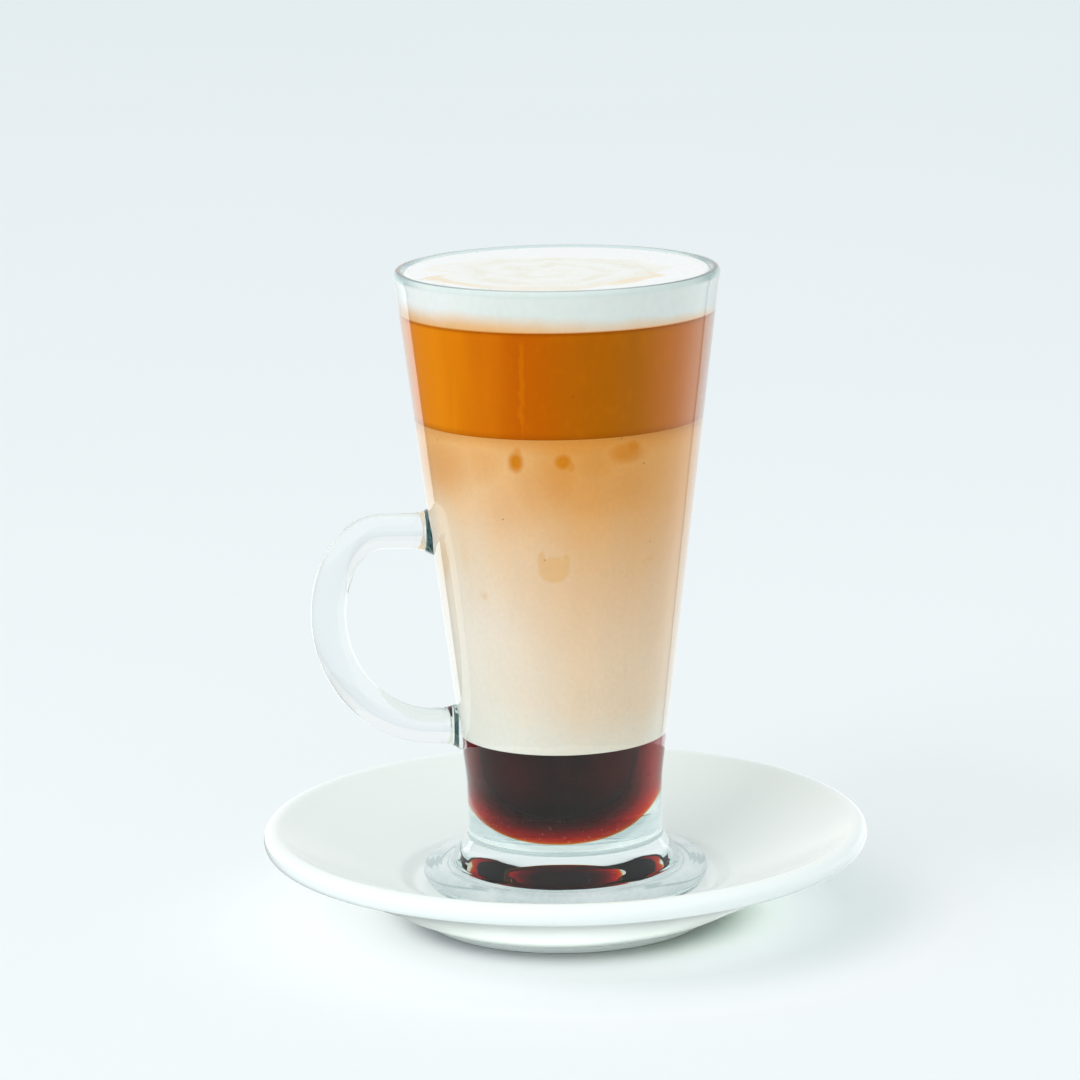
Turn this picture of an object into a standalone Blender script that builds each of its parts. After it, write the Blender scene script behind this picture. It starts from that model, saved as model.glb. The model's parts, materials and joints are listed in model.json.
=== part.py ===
"""Layered coffee drink in a tall handled glass, standing on its saucer.

Six closed solids: the saucer, the pressed glass with its handle fused on, and
the four layers that fill the glass, from the dark syrup up to the foam.
All sizes below are millimetres. The glass stands on +Z, its handle on -X.
"""

import math

import bmesh
import bpy
from mathutils import Vector

MM = 0.001
SIDES = 64
TOUCH_GAP = 0.3

# Glass, heights above the table
RIM_TOP = 161.0
RIM_RADIUS = 39.5
LIP_ROUND = 1.4
WALL_LINE_RADIUS = 39.36
WALL_TAPER = 0.123
WALL_THICKNESS = 2.8
BASE_THICKENING = 4.6
BASE_THICKENING_MID = 42.0
BASE_THICKENING_SPREAD = 9.0
STEM_RADIUS = 24.0
STEM_BOTTOM = 20.6
FOOT_RADIUS = 35.1
FOOT_BOTTOM = 9.2
FOOT_EDGE_ROUND = 2.3
FOOT_RING_RADIUS = 32.6
FOOT_RING_TOP = 14.0
FOOT_GROOVE_RADIUS = 30.2
FOOT_GROOVE_TOP = 13.5

# Cavity, with its rounded bottom
BOWL_BOTTOM = 20.0
BOWL_DEPTH = 14.0
BOWL_POWER = 2.6
BOWL_STEPS = 8

# Levels of the drink
SYRUP_TOP = 45.8
MILK_TOP = 125.0
COFFEE_TOP = 150.8
FOAM_EDGE = 160.5
FOAM_CROWN = 0.4

# Handle, a round rod bent in the plane of X and Z
ROD_RADIUS = 4.35
ROD_FACETS = 16
HANDLE_REACH = 57.0
HANDLE_WIDEST = 75.7
UPPER_ARM_HEIGHT = 96.75
UPPER_BEND_START = 43.0
UPPER_ARM_ROOT = 30.0
LOWER_ARM_HEIGHT = 47.85
LOWER_BEND_START = 32.0
LOWER_ARM_ROOT = 23.8
ROOT_FLARE = 1.7
ROOT_FLARE_LENGTH = 1.5
BEND_STEPS = 9

# Saucer
SAUCER_RADIUS = 74.28
SAUCER_LIP_ROUND = 2.65
SAUCER_LIP_TOP = 23.35
WELL_RADIUS = 38.6
WELL_STEP = 1.9
WELL_STEP_WIDTH = 1.6
DISH_SAG = 1.1
FOOT_RING_OUTER = 35.9
FOOT_RING_INNER = 32.6
FOOT_RING_HEIGHT = 1.6
UNDER_CENTRE = 3.4
LIP_STEPS = 8

COLOURS = {
    "saucer_glaze": (0.90, 0.92, 0.91, 1.0),
    "clear_glass": (0.86, 0.92, 0.92, 0.30),
    "syrup": (0.10, 0.03, 0.02, 1.0),
    "milk": (0.86, 0.67, 0.48, 1.0),
    "coffee": (0.62, 0.27, 0.05, 1.0),
    "foam": (0.92, 0.91, 0.87, 1.0),
}


def clear_scene():
    """Remove every object that the scene starts with."""
    for item in list(bpy.data.objects):
        bpy.data.objects.remove(item, do_unlink=True)


def new_collection(name, hidden=False):
    """Return a new collection linked to the scene."""
    group = bpy.data.collections.new(name)
    bpy.context.scene.collection.children.link(group)
    group.hide_render = hidden
    return group


def material(name):
    """Return a Principled material with the slot's plain colour."""
    made = bpy.data.materials.new(name)
    made.use_nodes = True
    shader = made.node_tree.nodes["Principled BSDF"]
    shader.inputs["Base Color"].default_value = COLOURS[name]
    shader.inputs["Alpha"].default_value = COLOURS[name][3]
    made.diffuse_color = COLOURS[name]
    return made


def cone_wall(height):
    """Radius of the tapered outer wall at a height."""
    return WALL_LINE_RADIUS - WALL_TAPER * (RIM_TOP - LIP_ROUND - height)


def cavity_wall(height):
    """Radius of the cavity at a height: thicker glass low down, a rounded bottom."""
    spread = math.exp((height - BASE_THICKENING_MID) / BASE_THICKENING_SPREAD)
    radius = cone_wall(height) - WALL_THICKNESS - BASE_THICKENING / (1.0 + spread)
    bowl_top = BOWL_BOTTOM + BOWL_DEPTH
    if height >= bowl_top:
        return radius
    depth = min(1.0, (bowl_top - height) / BOWL_DEPTH)
    return radius * (1.0 - depth**BOWL_POWER) ** (1.0 / BOWL_POWER)


def blend(start, end, share):
    """Point between two numbers."""
    return start + (end - start) * share


def arc(centre, radius, start_deg, end_deg, steps):
    """Points of an arc in the plane of radius and height."""
    points = []
    for step in range(steps + 1):
        angle = math.radians(blend(start_deg, end_deg, step / steps))
        radial = centre[0] + radius * math.cos(angle)
        points.append((radial, centre[1] + radius * math.sin(angle)))
    return points


def bowl_heights():
    """Heights up the rounded bottom, closest together where it is flattest."""
    heights = []
    for step in range(1, BOWL_STEPS + 1):
        angle = 0.5 * math.pi * step / BOWL_STEPS
        heights.append(BOWL_BOTTOM + BOWL_DEPTH * (1.0 - math.cos(angle)) ** 1.35)
    return heights


def wall_heights(low, high, steps):
    """Heights up the cavity wall, closest together where the glass thickens."""
    return [blend(low, high, (step / steps) ** 1.8) for step in range(steps + 1)]


def glass_profile():
    """Outline of the glass: up the cavity, over the lip, down to the foot."""
    points = [(0.0, BOWL_BOTTOM)]
    lip_height = RIM_TOP - LIP_ROUND
    heights = bowl_heights() + wall_heights(BOWL_BOTTOM + BOWL_DEPTH, lip_height - 2.0, 7)[1:]
    points += [(cavity_wall(height), height) for height in heights]
    lip_centre = (RIM_RADIUS - LIP_ROUND, lip_height)
    points += arc(lip_centre, LIP_ROUND, 180.0, 0.0, 8)
    points.append((cone_wall(lip_height - 2.0), lip_height - 2.0))
    stem_top = lip_height - (WALL_LINE_RADIUS - STEM_RADIUS) / WALL_TAPER
    points.append((cone_wall(stem_top + 3.0), stem_top + 3.0))
    points.append((STEM_RADIUS + 0.08, stem_top))
    points.append((STEM_RADIUS, stem_top - 3.0))
    points.append((STEM_RADIUS, STEM_BOTTOM + 0.5))
    points.append((STEM_RADIUS + 0.15, STEM_BOTTOM))
    for step in range(1, 7):
        share = step / 6.0
        radius = blend(STEM_RADIUS + 0.15, FOOT_GROOVE_RADIUS, share)
        rise = (1.0 - share) ** 1.9
        points.append((radius, blend(FOOT_GROOVE_TOP, STEM_BOTTOM, rise)))
    points.append((0.5 * (FOOT_GROOVE_RADIUS + FOOT_RING_RADIUS), FOOT_RING_TOP - 0.1))
    points.append((FOOT_RING_RADIUS, FOOT_RING_TOP))
    edge_centre = (FOOT_RADIUS - FOOT_EDGE_ROUND, FOOT_BOTTOM + FOOT_EDGE_ROUND)
    points += arc(edge_centre, FOOT_EDGE_ROUND, 62.0, -70.0, 6)
    points.append((edge_centre[0] - 0.4, FOOT_BOTTOM))
    points.append((0.0, FOOT_BOTTOM))
    return points


def saucer_profile():
    """Outline of the saucer: out over the well and dish, round the lip, back under."""
    floor = FOOT_BOTTOM - TOUCH_GAP
    step_radius = WELL_RADIUS + WELL_STEP_WIDTH
    step_top = floor + WELL_STEP
    lip_centre = (SAUCER_RADIUS - SAUCER_LIP_ROUND, SAUCER_LIP_TOP - SAUCER_LIP_ROUND)
    points = [(0.0, floor), (WELL_RADIUS, floor)]
    points.append((WELL_RADIUS + 0.45 * WELL_STEP_WIDTH, floor + 0.35 * WELL_STEP))
    points.append((step_radius, step_top))
    dish_end = (lip_centre[0] - 1.6, SAUCER_LIP_TOP - 0.55)
    for step in range(1, 6):
        share = step / 6.0
        radius = blend(step_radius, dish_end[0], share)
        height = blend(step_top, dish_end[1], share)
        points.append((radius, height - 4.0 * DISH_SAG * share * (1.0 - share)))
    points += arc(lip_centre, SAUCER_LIP_ROUND, 118.0, -80.0, LIP_STEPS)
    for radius, height in ((68.0, 16.6), (59.5, 12.7), (50.0, 8.0), (43.0, 4.2)):
        points.append((radius, height))
    points.append((FOOT_RING_OUTER + 2.4, FOOT_RING_HEIGHT + 0.5))
    points.append((FOOT_RING_OUTER + 0.3, FOOT_RING_HEIGHT))
    points.append((FOOT_RING_OUTER, 0.35))
    points.append((FOOT_RING_OUTER - 0.5, 0.0))
    points.append((FOOT_RING_INNER + 0.5, 0.0))
    points.append((FOOT_RING_INNER, 0.4))
    points.append((FOOT_RING_INNER - 1.0, UNDER_CENTRE))
    points.append((0.0, UNDER_CENTRE))
    return points


def layer_wall(low, high, steps):
    """Points down the side of a drink layer, clear of the cavity wall."""
    heights = reversed(wall_heights(low, high, steps))
    return [(cavity_wall(height) - TOUCH_GAP, height) for height in heights]


def syrup_profile():
    """Outline of the lowest layer, which follows the rounded bottom."""
    top = SYRUP_TOP - 0.5 * TOUCH_GAP
    bowl_top = BOWL_BOTTOM + BOWL_DEPTH
    points = [(0.0, top)] + layer_wall(bowl_top, top, 3)
    for height in reversed(bowl_heights()[:-1]):
        wall = Vector((cavity_wall(height), height))
        ahead = Vector((cavity_wall(height + 0.01), height + 0.01))
        along = (ahead - wall).normalized()
        inward = Vector((-along.y, along.x)) * TOUCH_GAP
        points.append((wall.x + inward.x, wall.y + inward.y))
    points.append((0.0, BOWL_BOTTOM + TOUCH_GAP))
    return points


def slab_profile(low, high, steps):
    """Outline of a layer with a flat top and a flat bottom."""
    bottom = low + 0.5 * TOUCH_GAP
    top = high - 0.5 * TOUCH_GAP
    return [(0.0, top)] + layer_wall(bottom, top, steps) + [(0.0, bottom)]


def foam_profile():
    """Outline of the foam, with a low crown and a soft edge."""
    edge = cavity_wall(FOAM_EDGE - 1.0) - TOUCH_GAP
    points = [(0.0, FOAM_EDGE + FOAM_CROWN)]
    for share in (0.35, 0.7, 0.93):
        lift = FOAM_CROWN * (1.0 - share**2)
        points.append((edge * share, FOAM_EDGE + lift))
    points.append((edge - 0.5, FOAM_EDGE - 0.1))
    points.append((edge, FOAM_EDGE - 0.9))
    points += layer_wall(COFFEE_TOP + 0.5 * TOUCH_GAP, FOAM_EDGE - 2.0, 2)
    points.append((0.0, COFFEE_TOP + 0.5 * TOUCH_GAP))
    return points


def turned(name, profile, group, paint):
    """Return an object turned about Z from a profile of radius and height."""
    mesh = bpy.data.meshes.new(name)
    places = [(radius * MM, 0.0, height * MM) for radius, height in profile]
    mesh.from_pydata(places, [(i, i + 1) for i in range(len(places) - 1)], [])
    item = bpy.data.objects.new(name, mesh)
    group.objects.link(item)
    screw = item.modifiers.new("turn", "SCREW")
    screw.axis = "Z"
    screw.angle = 2.0 * math.pi
    screw.steps = SIDES
    screw.render_steps = SIDES
    screw.use_merge_vertices = True
    screw.merge_threshold = 0.00001
    mesh.materials.append(paint)
    return item


def handle_path():
    """Centre line of the handle from the upper root round to the lower root."""
    path = []
    for back in (0.0, 1.6, 2.6, 3.6, 5.2, 8.0):
        path.append((-(UPPER_ARM_ROOT + back), UPPER_ARM_HEIGHT))
    for step in range(BEND_STEPS + 1):
        angle = 0.5 * math.pi * step / BEND_STEPS
        out = UPPER_BEND_START + (HANDLE_REACH - UPPER_BEND_START) * math.sin(angle)
        rise = (UPPER_ARM_HEIGHT - HANDLE_WIDEST) * math.cos(angle)
        path.append((-out, HANDLE_WIDEST + rise))
    for step in range(1, BEND_STEPS + 1):
        angle = 0.5 * math.pi * step / BEND_STEPS
        out = LOWER_BEND_START + (HANDLE_REACH - LOWER_BEND_START) * math.cos(angle)
        drop = (HANDLE_WIDEST - LOWER_ARM_HEIGHT) * math.sin(angle)
        path.append((-out, HANDLE_WIDEST - drop))
    for back in (5.2, 3.6, 2.6, 1.6, 0.0):
        path.append((-(LOWER_ARM_ROOT + back), LOWER_ARM_HEIGHT))
    return path


def rod_scale(distance):
    """Thickness of the rod against its plain thickness, at a distance from the wall."""
    flare = ROOT_FLARE * math.exp(-max(distance, 0.0) / ROOT_FLARE_LENGTH)
    return 1.0 + flare / ROD_RADIUS


def handle_rod(group, paint):
    """Return the handle as a closed rod that flares where it meets the wall."""
    path = handle_path()
    curve = bpy.data.curves.new("handle_rod", "CURVE")
    curve.dimensions = "3D"
    curve.bevel_depth = ROD_RADIUS * MM
    curve.bevel_resolution = ROD_FACETS // 2 - 2
    curve.use_fill_caps = True
    line = curve.splines.new("POLY")
    line.points.add(len(path) - 1)
    for point, (across, height) in zip(line.points, path):
        point.co = (across * MM, 0.0, height * MM, 1.0)
        wall = cone_wall(height)
        point.radius = rod_scale(-across - wall)
    item = bpy.data.objects.new("handle_rod", curve)
    group.objects.link(item)
    return item


def as_mesh(item, name, group, paint):
    """Return a plain mesh object made from an object with its modifiers."""
    graph = bpy.context.evaluated_depsgraph_get()
    shape = bpy.data.meshes.new_from_object(item.evaluated_get(graph))
    shape.materials.clear()
    shape.materials.append(paint)
    work = bmesh.new()
    work.from_mesh(shape)
    bmesh.ops.remove_doubles(work, verts=work.verts, dist=0.000002)
    bmesh.ops.recalc_face_normals(work, faces=work.faces)
    work.to_mesh(shape)
    work.free()
    made = bpy.data.objects.new(name, shape)
    group.objects.link(made)
    return made


def fuse(item, tool):
    """Join a second body onto an object as one solid."""
    tool.display_type = "WIRE"
    tool.hide_render = True
    union = item.modifiers.new("fuse", "BOOLEAN")
    union.operation = "UNION"
    union.solver = "EXACT"
    union.object = tool
    graph = bpy.context.evaluated_depsgraph_get()
    joined = bpy.data.meshes.new_from_object(item.evaluated_get(graph))
    item.modifiers.remove(union)
    item.data = joined


def main():
    """Build the six solids."""
    clear_scene()
    parts = new_collection("layered_coffee_glass")
    tools = new_collection("building_tools", hidden=True)
    paints = {name: material(name) for name in COLOURS}

    turned("saucer", saucer_profile(), parts, paints["saucer_glaze"])

    body = turned("glass_body", glass_profile(), tools, paints["clear_glass"])
    glass = as_mesh(body, "glass", parts, paints["clear_glass"])
    rod = handle_rod(tools, paints["clear_glass"])
    rod_mesh = as_mesh(rod, "handle", tools, paints["clear_glass"])
    fuse(glass, rod_mesh)
    glass.data.materials.clear()
    glass.data.materials.append(paints["clear_glass"])
    for helper in list(tools.objects):
        bpy.data.objects.remove(helper, do_unlink=True)

    turned("syrup_layer", syrup_profile(), parts, paints["syrup"])
    milk = slab_profile(SYRUP_TOP, MILK_TOP, 4)
    turned("milk_layer", milk, parts, paints["milk"])
    coffee = slab_profile(MILK_TOP, COFFEE_TOP, 1)
    turned("coffee_layer", coffee, parts, paints["coffee"])
    turned("foam_layer", foam_profile(), parts, paints["foam"])


main()
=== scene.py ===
"""The finish of a layered coffee in a tall handled glass, standing on its saucer.

Every piece is modelled in metres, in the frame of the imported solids, and replaces
the plain solid of the same thing. The glass stands on +Z, its handle on -X.
"""

import json
import math

import bmesh
import bpy
import numpy as np
from bpy.props import FloatProperty, FloatVectorProperty, PointerProperty
from mathutils import Matrix, Vector, noise

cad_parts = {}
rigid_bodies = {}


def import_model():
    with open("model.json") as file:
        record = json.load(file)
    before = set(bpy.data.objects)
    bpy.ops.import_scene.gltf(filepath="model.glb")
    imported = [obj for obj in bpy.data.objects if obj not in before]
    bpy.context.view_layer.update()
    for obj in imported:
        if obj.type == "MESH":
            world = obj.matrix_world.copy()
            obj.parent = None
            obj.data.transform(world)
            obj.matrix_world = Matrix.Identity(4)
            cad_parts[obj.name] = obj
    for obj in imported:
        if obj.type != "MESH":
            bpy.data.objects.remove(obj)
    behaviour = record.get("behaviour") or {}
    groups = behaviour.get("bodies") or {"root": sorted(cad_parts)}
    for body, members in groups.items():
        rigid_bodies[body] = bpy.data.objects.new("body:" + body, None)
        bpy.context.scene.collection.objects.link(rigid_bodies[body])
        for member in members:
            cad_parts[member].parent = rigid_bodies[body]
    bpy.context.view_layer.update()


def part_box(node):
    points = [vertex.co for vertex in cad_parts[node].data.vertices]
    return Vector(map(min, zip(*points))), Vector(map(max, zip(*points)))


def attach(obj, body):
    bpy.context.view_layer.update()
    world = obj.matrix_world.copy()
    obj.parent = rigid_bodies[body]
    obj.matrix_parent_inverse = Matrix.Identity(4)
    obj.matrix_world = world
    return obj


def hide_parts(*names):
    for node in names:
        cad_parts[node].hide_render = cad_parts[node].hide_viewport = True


bl_info = {
    "name": "Layered coffee glass",
    "version": (1, 0, 0),
    "blender": (4, 5, 0),
    "location": "3D View > Sidebar > Coffee",
    "description": "Builds a layered coffee in a handled glass on its saucer",
    "category": "Object",
}

for leftover in list(bpy.data.objects):
    bpy.data.objects.remove(leftover, do_unlink=True)
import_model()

GLASS_LOW, GLASS_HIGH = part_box("glass")
SAUCER_LOW, SAUCER_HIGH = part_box("saucer")
TOUCH_GAP = 0.0003
SYRUP_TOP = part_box("syrup_layer")[1].z + 0.5 * TOUCH_GAP
MILK_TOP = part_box("milk_layer")[1].z + 0.5 * TOUCH_GAP
COFFEE_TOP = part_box("coffee_layer")[1].z + 0.5 * TOUCH_GAP
FOAM_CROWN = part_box("foam_layer")[1].z
BOWL_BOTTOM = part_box("syrup_layer")[0].z - TOUCH_GAP
WALL_REACH = 0.00015
LEAN_FADE = (0.034, 0.060)
FOAM_CREASE = 0.0008
GLASS_SIDES = 192
DRINK_SIDES = 192
SAUCER_SIDES = 256
HANDLE_SIDES = 40
BUBBLE_SIDES = 96
BOWL_STEPS = 26


def linear(red, green, blue):
    """Scene-linear colour from the 0 to 255 values of a colour picker."""
    picked = []
    for value in (red, green, blue):
        share = value / 255.0
        picked.append(share / 12.92 if share <= 0.04045 else ((share + 0.055) / 1.055) ** 2.4)
    return tuple(picked)


def length(label, note, default):
    """A size in metres that the sidebar shows."""
    return FloatProperty(name=label, description=note, default=default, unit="LENGTH", precision=4)


def colour(label, note, default):
    """A colour that the sidebar shows."""
    return FloatVectorProperty(
        name=label, description=note, default=default, subtype="COLOR", size=3, min=0.0, max=1.0
    )


def number(label, note, default):
    """A plain number that the sidebar shows."""
    return FloatProperty(name=label, description=note, default=default, precision=3)


def angle(label, note, default):
    """An angle that the sidebar shows."""
    return FloatProperty(
        name=label, description=note, default=math.radians(default), subtype="ANGLE", precision=4
    )


class GlassSettings(bpy.types.PropertyGroup):
    """Sizes and tint of the pressed glass and its handle."""

    rim_top: length("Rim height", "Top of the lip above the table", GLASS_HIGH.z)
    rim_radius: length("Rim radius", "Outer radius of the lip", GLASS_HIGH.x)
    lip_round: length("Lip rounding", "Radius of the fire-polished lip", 0.0014)
    line_radius: length("Wall line radius", "Tapered wall's radius at the lip", 0.03936)
    taper: number("Wall taper", "How much the wall narrows for each unit down", 0.123)
    wall: length("Wall thickness", "Thickness of the upper wall", 0.0028)
    thickening: length("Base thickening", "Extra thickness low in the wall", 0.0046)
    thickening_mid: length("Thickening height", "Height where half of it is there", 0.042)
    thickening_spread: length("Thickening spread", "How gently the wall thickens", 0.009)
    bowl_depth: length("Bowl depth", "Height of the rounded bottom of the cavity", 0.014)
    bowl_power: number("Bowl squareness", "Power of the rounded bottom's curve", 2.6)
    bowl_shift: length("Bowl shift", "How far the cavity's bottom lies off the axis", -0.0011)
    stem_radius: length("Stem radius", "Radius of the straight stem", 0.024)
    stem_bottom: length("Stem bottom", "Height where the stem flares out", 0.0206)
    foot_radius: length("Foot radius", "Radius of the round foot", 0.0351)
    foot_round: length("Foot rounding", "Radius of the foot's edge", 0.0023)
    ring_radius: length("Ring radius", "Radius of the raised ring on the foot", 0.0326)
    ring_top: length("Ring height", "Top of the raised ring above the table", 0.0140)
    flare_radius: length("Flare radius", "Radius where the flare under the stem ends", 0.0281)
    groove_radius: length("Groove radius", "Radius of the groove inside the ring", 0.0300)
    groove_top: length("Groove height", "Groove above the table", 0.0135)
    punt_radius: length("Punt radius", "Radius of the hollow under the foot", 0.0200)
    punt_rise: length("Punt rise", "Depth of the hollow under the foot", 0.0030)
    rod: length("Handle thickness", "Radius of the handle's rod", 0.00435)
    reach: length("Handle reach", "Rod's centre line from the axis", 0.057)
    widest: length("Handle's widest height", "Height where it reaches furthest", 0.0757)
    upper_arm: length("Upper arm height", "Height of the upper arm", 0.09675)
    upper_bend: length("Upper bend", "Where the upper bend starts", 0.043)
    upper_root: length("Upper root", "Where the upper arm ends in the wall", 0.0300)
    lower_arm: length("Lower arm height", "Height of the lower arm", 0.04785)
    lower_bend: length("Lower bend", "Where the lower bend starts", 0.032)
    lower_root: length("Lower root", "Where the lower arm ends in the wall", 0.0238)
    flare: length("Root flare", "How much the rod thickens at the wall", 0.0017)
    flare_length: length("Flare length", "How soon the flare fades", 0.0015)
    tint: colour("Tint", "Colour that thick glass takes", (0.62, 0.88, 0.87))
    turns: number("Turns", "Times that the glass turns a ray before it ends", 6.0)
    caught: colour("Caught light", "Light caught in the thick glass", linear(205, 221, 221))
    seam: colour("Seam", "Light caught where the handle meets the wall", linear(22, 46, 44))
    seam_pale: colour("Pale seam", "Paler light caught there", linear(100, 130, 128))
    gathered: colour("Gathered light", "Light gathered in the solid base", (0.12, 0.125, 0.125))
    edge_dark: colour("Dark edge", "Light let through along the outline", linear(70, 84, 84))
    lip_tint: colour("Lip tint", "Light let through by the lip", linear(226, 238, 236))
    lip_ends: colour("Lip ends", "Light let through by the lip seen from its side", linear(118, 154, 158))
    lip_line: colour("Lip line", "Dark line along the lip's inner side", linear(46, 76, 80))
    tint_density: number("Tint density", "Absorption in each metre of glass", 6.0)


class DrinkSettings(bpy.types.PropertyGroup):
    """Levels and colours of the four layers."""

    syrup_top: length("Syrup level", "Top of the dark syrup", SYRUP_TOP)
    milk_top: length("Milk level", "Top of the milk", MILK_TOP)
    coffee_top: length("Coffee level", "Top of the coffee", COFFEE_TOP)
    foam_edge: length("Foam edge", "Where the foam meets the glass", FOAM_CROWN - 0.0004)
    core_depth: length("Core depth", "Syrup round the heart that no light passes", 0.0080)
    froth_edge: number("Froth at the edge", "Bubbles on each square metre of it", 6.0e5)
    froth_top: number("Froth on top", "Bubbles on each square metre of it", 2.0e4)
    syrup_bubbles: number("Syrup bubbles", "Bubbles on each square metre of the bowl", 6.0e4)
    swirl_x: length("Swirl centre X", "Centre of the beige swirl on the foam", -0.0024)
    swirl_y: length("Swirl centre Y", "Centre of the beige swirl on the foam", -0.0080)
    swirl_radius: length("Swirl radius", "Radius of the beige swirl", 0.0280)
    syrup: colour("Syrup", "Light that a little syrup lets through", (0.955, 0.65, 0.0))
    syrup_density: number("Syrup density", "Absorption in each metre of syrup", 900.0)
    syrup_heart: number("Syrup heart", "How much denser the middle of the syrup is", 4.5)
    milk_low: colour("Milk, lowest", "Cream just over the syrup", linear(240, 241, 232))
    milk_cream: colour("Milk, cream", "Cream low on the side of the handle", linear(238, 230, 217))
    milk_beige: colour("Milk, beige", "Beige halfway up that side", linear(236, 216, 190))
    milk_warm: colour("Milk, warm", "Warm beige under the coffee there", linear(241, 190, 126))
    milk_blush: colour("Milk, blush", "Blush low on the other side", linear(238, 213, 184))
    milk_tan: colour("Milk, tan", "Tan halfway up the other side", linear(231, 188, 142))
    milk_peach: colour("Milk, peach", "Peach under the coffee there", linear(226, 160, 84))
    stain: colour("Stain", "Coffee that has sunk into the milk", linear(212, 128, 30))
    # The coffee's colours across are partly its own amber and partly painted light and shade: lighter
    # gold on the side of the handle where the light falls, browner away from it.
    coffee_gold: colour("Coffee, gold", "Amber on the side of the handle", linear(231, 134, 9))
    coffee_amber: colour("Coffee, amber", "Amber between side and middle", linear(213, 113, 8))
    coffee_red: colour("Coffee, red", "Red amber of the middle", linear(197, 94, 4))
    coffee_brown_shaded: colour("Coffee, brown", "Brown on the side away from the handle", linear(175, 100, 6))
    foam: colour("Foam", "White of the foam", linear(251, 251, 250))
    # Painted shade on the foam's side, which stands below its top.
    foam_side_shade: colour("Foam side", "Greyer foam behind the glass", linear(227, 233, 228))
    crema: colour("Crema", "Tan where foam meets coffee", linear(238, 184, 122))
    swirl: colour("Swirl", "Beige of the swirl on the foam", linear(243, 240, 228))
    caramel: colour("Caramel", "Caramel lines round the swirl", linear(246, 222, 180))


class SaucerSettings(bpy.types.PropertyGroup):
    """Sizes and glaze of the saucer."""

    radius: length("Radius", "Outer radius of the saucer", SAUCER_HIGH.x)
    lip_top: length("Lip height", "Top of the lip above the table", SAUCER_HIGH.z)
    lip_round: length("Lip rounding", "Radius of the rounded lip", 0.00265)
    well_radius: length("Well radius", "Radius of the flat well", 0.0376)
    well_step: length("Well step", "Height of the step round the well", 0.0019)
    well_step_width: length("Step width", "Width of the step round the well", 0.0034)
    dish_sag: length("Dish sag", "How far the slope hollows", 0.0011)
    ring_outer: length("Foot ring", "Outer radius of the foot ring", 0.0359)
    ring_inner: length("Foot ring bore", "Inner radius of the foot ring", 0.0326)
    ring_height: length("Foot ring height", "Height of the foot ring", 0.0016)
    under_centre: length("Underside", "Height of the middle of the underside", 0.0034)
    glaze: colour("Glaze", "White of the glaze", linear(246, 254, 252))


class StageSettings(bpy.types.PropertyGroup):
    """Camera, floor and light."""

    distance: length("Camera distance", "Camera from the glass's axis", 1.0365)
    height: length("Camera height", "Camera above the table", 0.3151)
    pitch: angle("Camera pitch", "How far the camera looks down", 12.043)
    yaw: angle("Camera yaw", "How far the camera turns right", -0.279)
    roll: angle("Camera roll", "How far the camera leans", -0.953)
    lens: number("Focal length", "Focal length in millimetres", 145.14)
    floor_half: length("Floor half width", "Half the floor's width", 7.0)
    floor: colour("Floor", "Pale floor", (0.680, 0.640, 0.665))
    glow: colour("Floor glow", "Light that comes through the translucent floor", (0.20, 0.285, 0.280))
    lift: colour("Floor lift", "Extra light that the floor throws up from below", (1.45, 1.45, 1.36))
    pale: colour("Pale room", "Colour of the soft surroundings", (0.955, 0.99, 1.0))
    shade: colour("Room shade", "Colour of the room's darker side", (0.07, 0.12, 0.13))
    sky_strength: number("Sky strength", "Brightness of the soft surroundings", 0.81)
    front_strength: number("Front strength", "Extra brightness low in front", 0.20)
    card_strength: number("Card strength", "Brightness of the cards that glass mirrors", 1.7)
    key_power: number("Key light power", "Power of the soft key light", 27.0)
    key_distance: length("Key light distance", "Key light from the drink", 3.2)
    key_side: angle("Key light side", "How far left of the front the key light is", 50.0)
    key_height: angle("Key light height", "How high the key light is", 40.0)


# ---------------------------------------------------------------- shapes


def glass_settings():
    """The glass's settings."""
    return bpy.context.scene.coffee_glass


def drink_settings():
    """The drink's settings."""
    return bpy.context.scene.coffee_drink


def blend(start, end, share):
    """Point between two numbers."""
    return start + (end - start) * share


def ease(low, high, value):
    """Smooth step from 0 at low to 1 at high."""
    share = min(1.0, max(0.0, (value - low) / (high - low)))
    return share * share * (3.0 - 2.0 * share)


def cone_wall(glass, height):
    """Radius of the tapered outer wall at a height."""
    return glass.line_radius - glass.taper * (glass.rim_top - glass.lip_round - height)


def cavity_wall(glass, height):
    """Radius of the cavity at a height."""
    spread = math.exp((height - glass.thickening_mid) / glass.thickening_spread)
    radius = cone_wall(glass, height) - glass.wall - glass.thickening / (1.0 + spread)
    bowl_top = BOWL_BOTTOM + glass.bowl_depth
    if height >= bowl_top:
        return radius
    depth = min(1.0, (bowl_top - height) / glass.bowl_depth)
    return radius * (1.0 - depth**glass.bowl_power) ** (1.0 / glass.bowl_power)


def cavity_shift(glass, height):
    """How far the cavity's centre lies off the axis at a height."""
    return glass.bowl_shift * (1.0 - ease(*LEAN_FADE, height))


def arc(centre, radius, start_deg, end_deg, steps):
    """Points of an arc in the plane of radius and height."""
    points = []
    for step in range(steps + 1):
        turn = math.radians(blend(start_deg, end_deg, step / steps))
        radial = centre[0] + radius * math.cos(turn)
        points.append((radial, centre[1] + radius * math.sin(turn)))
    return points


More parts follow.
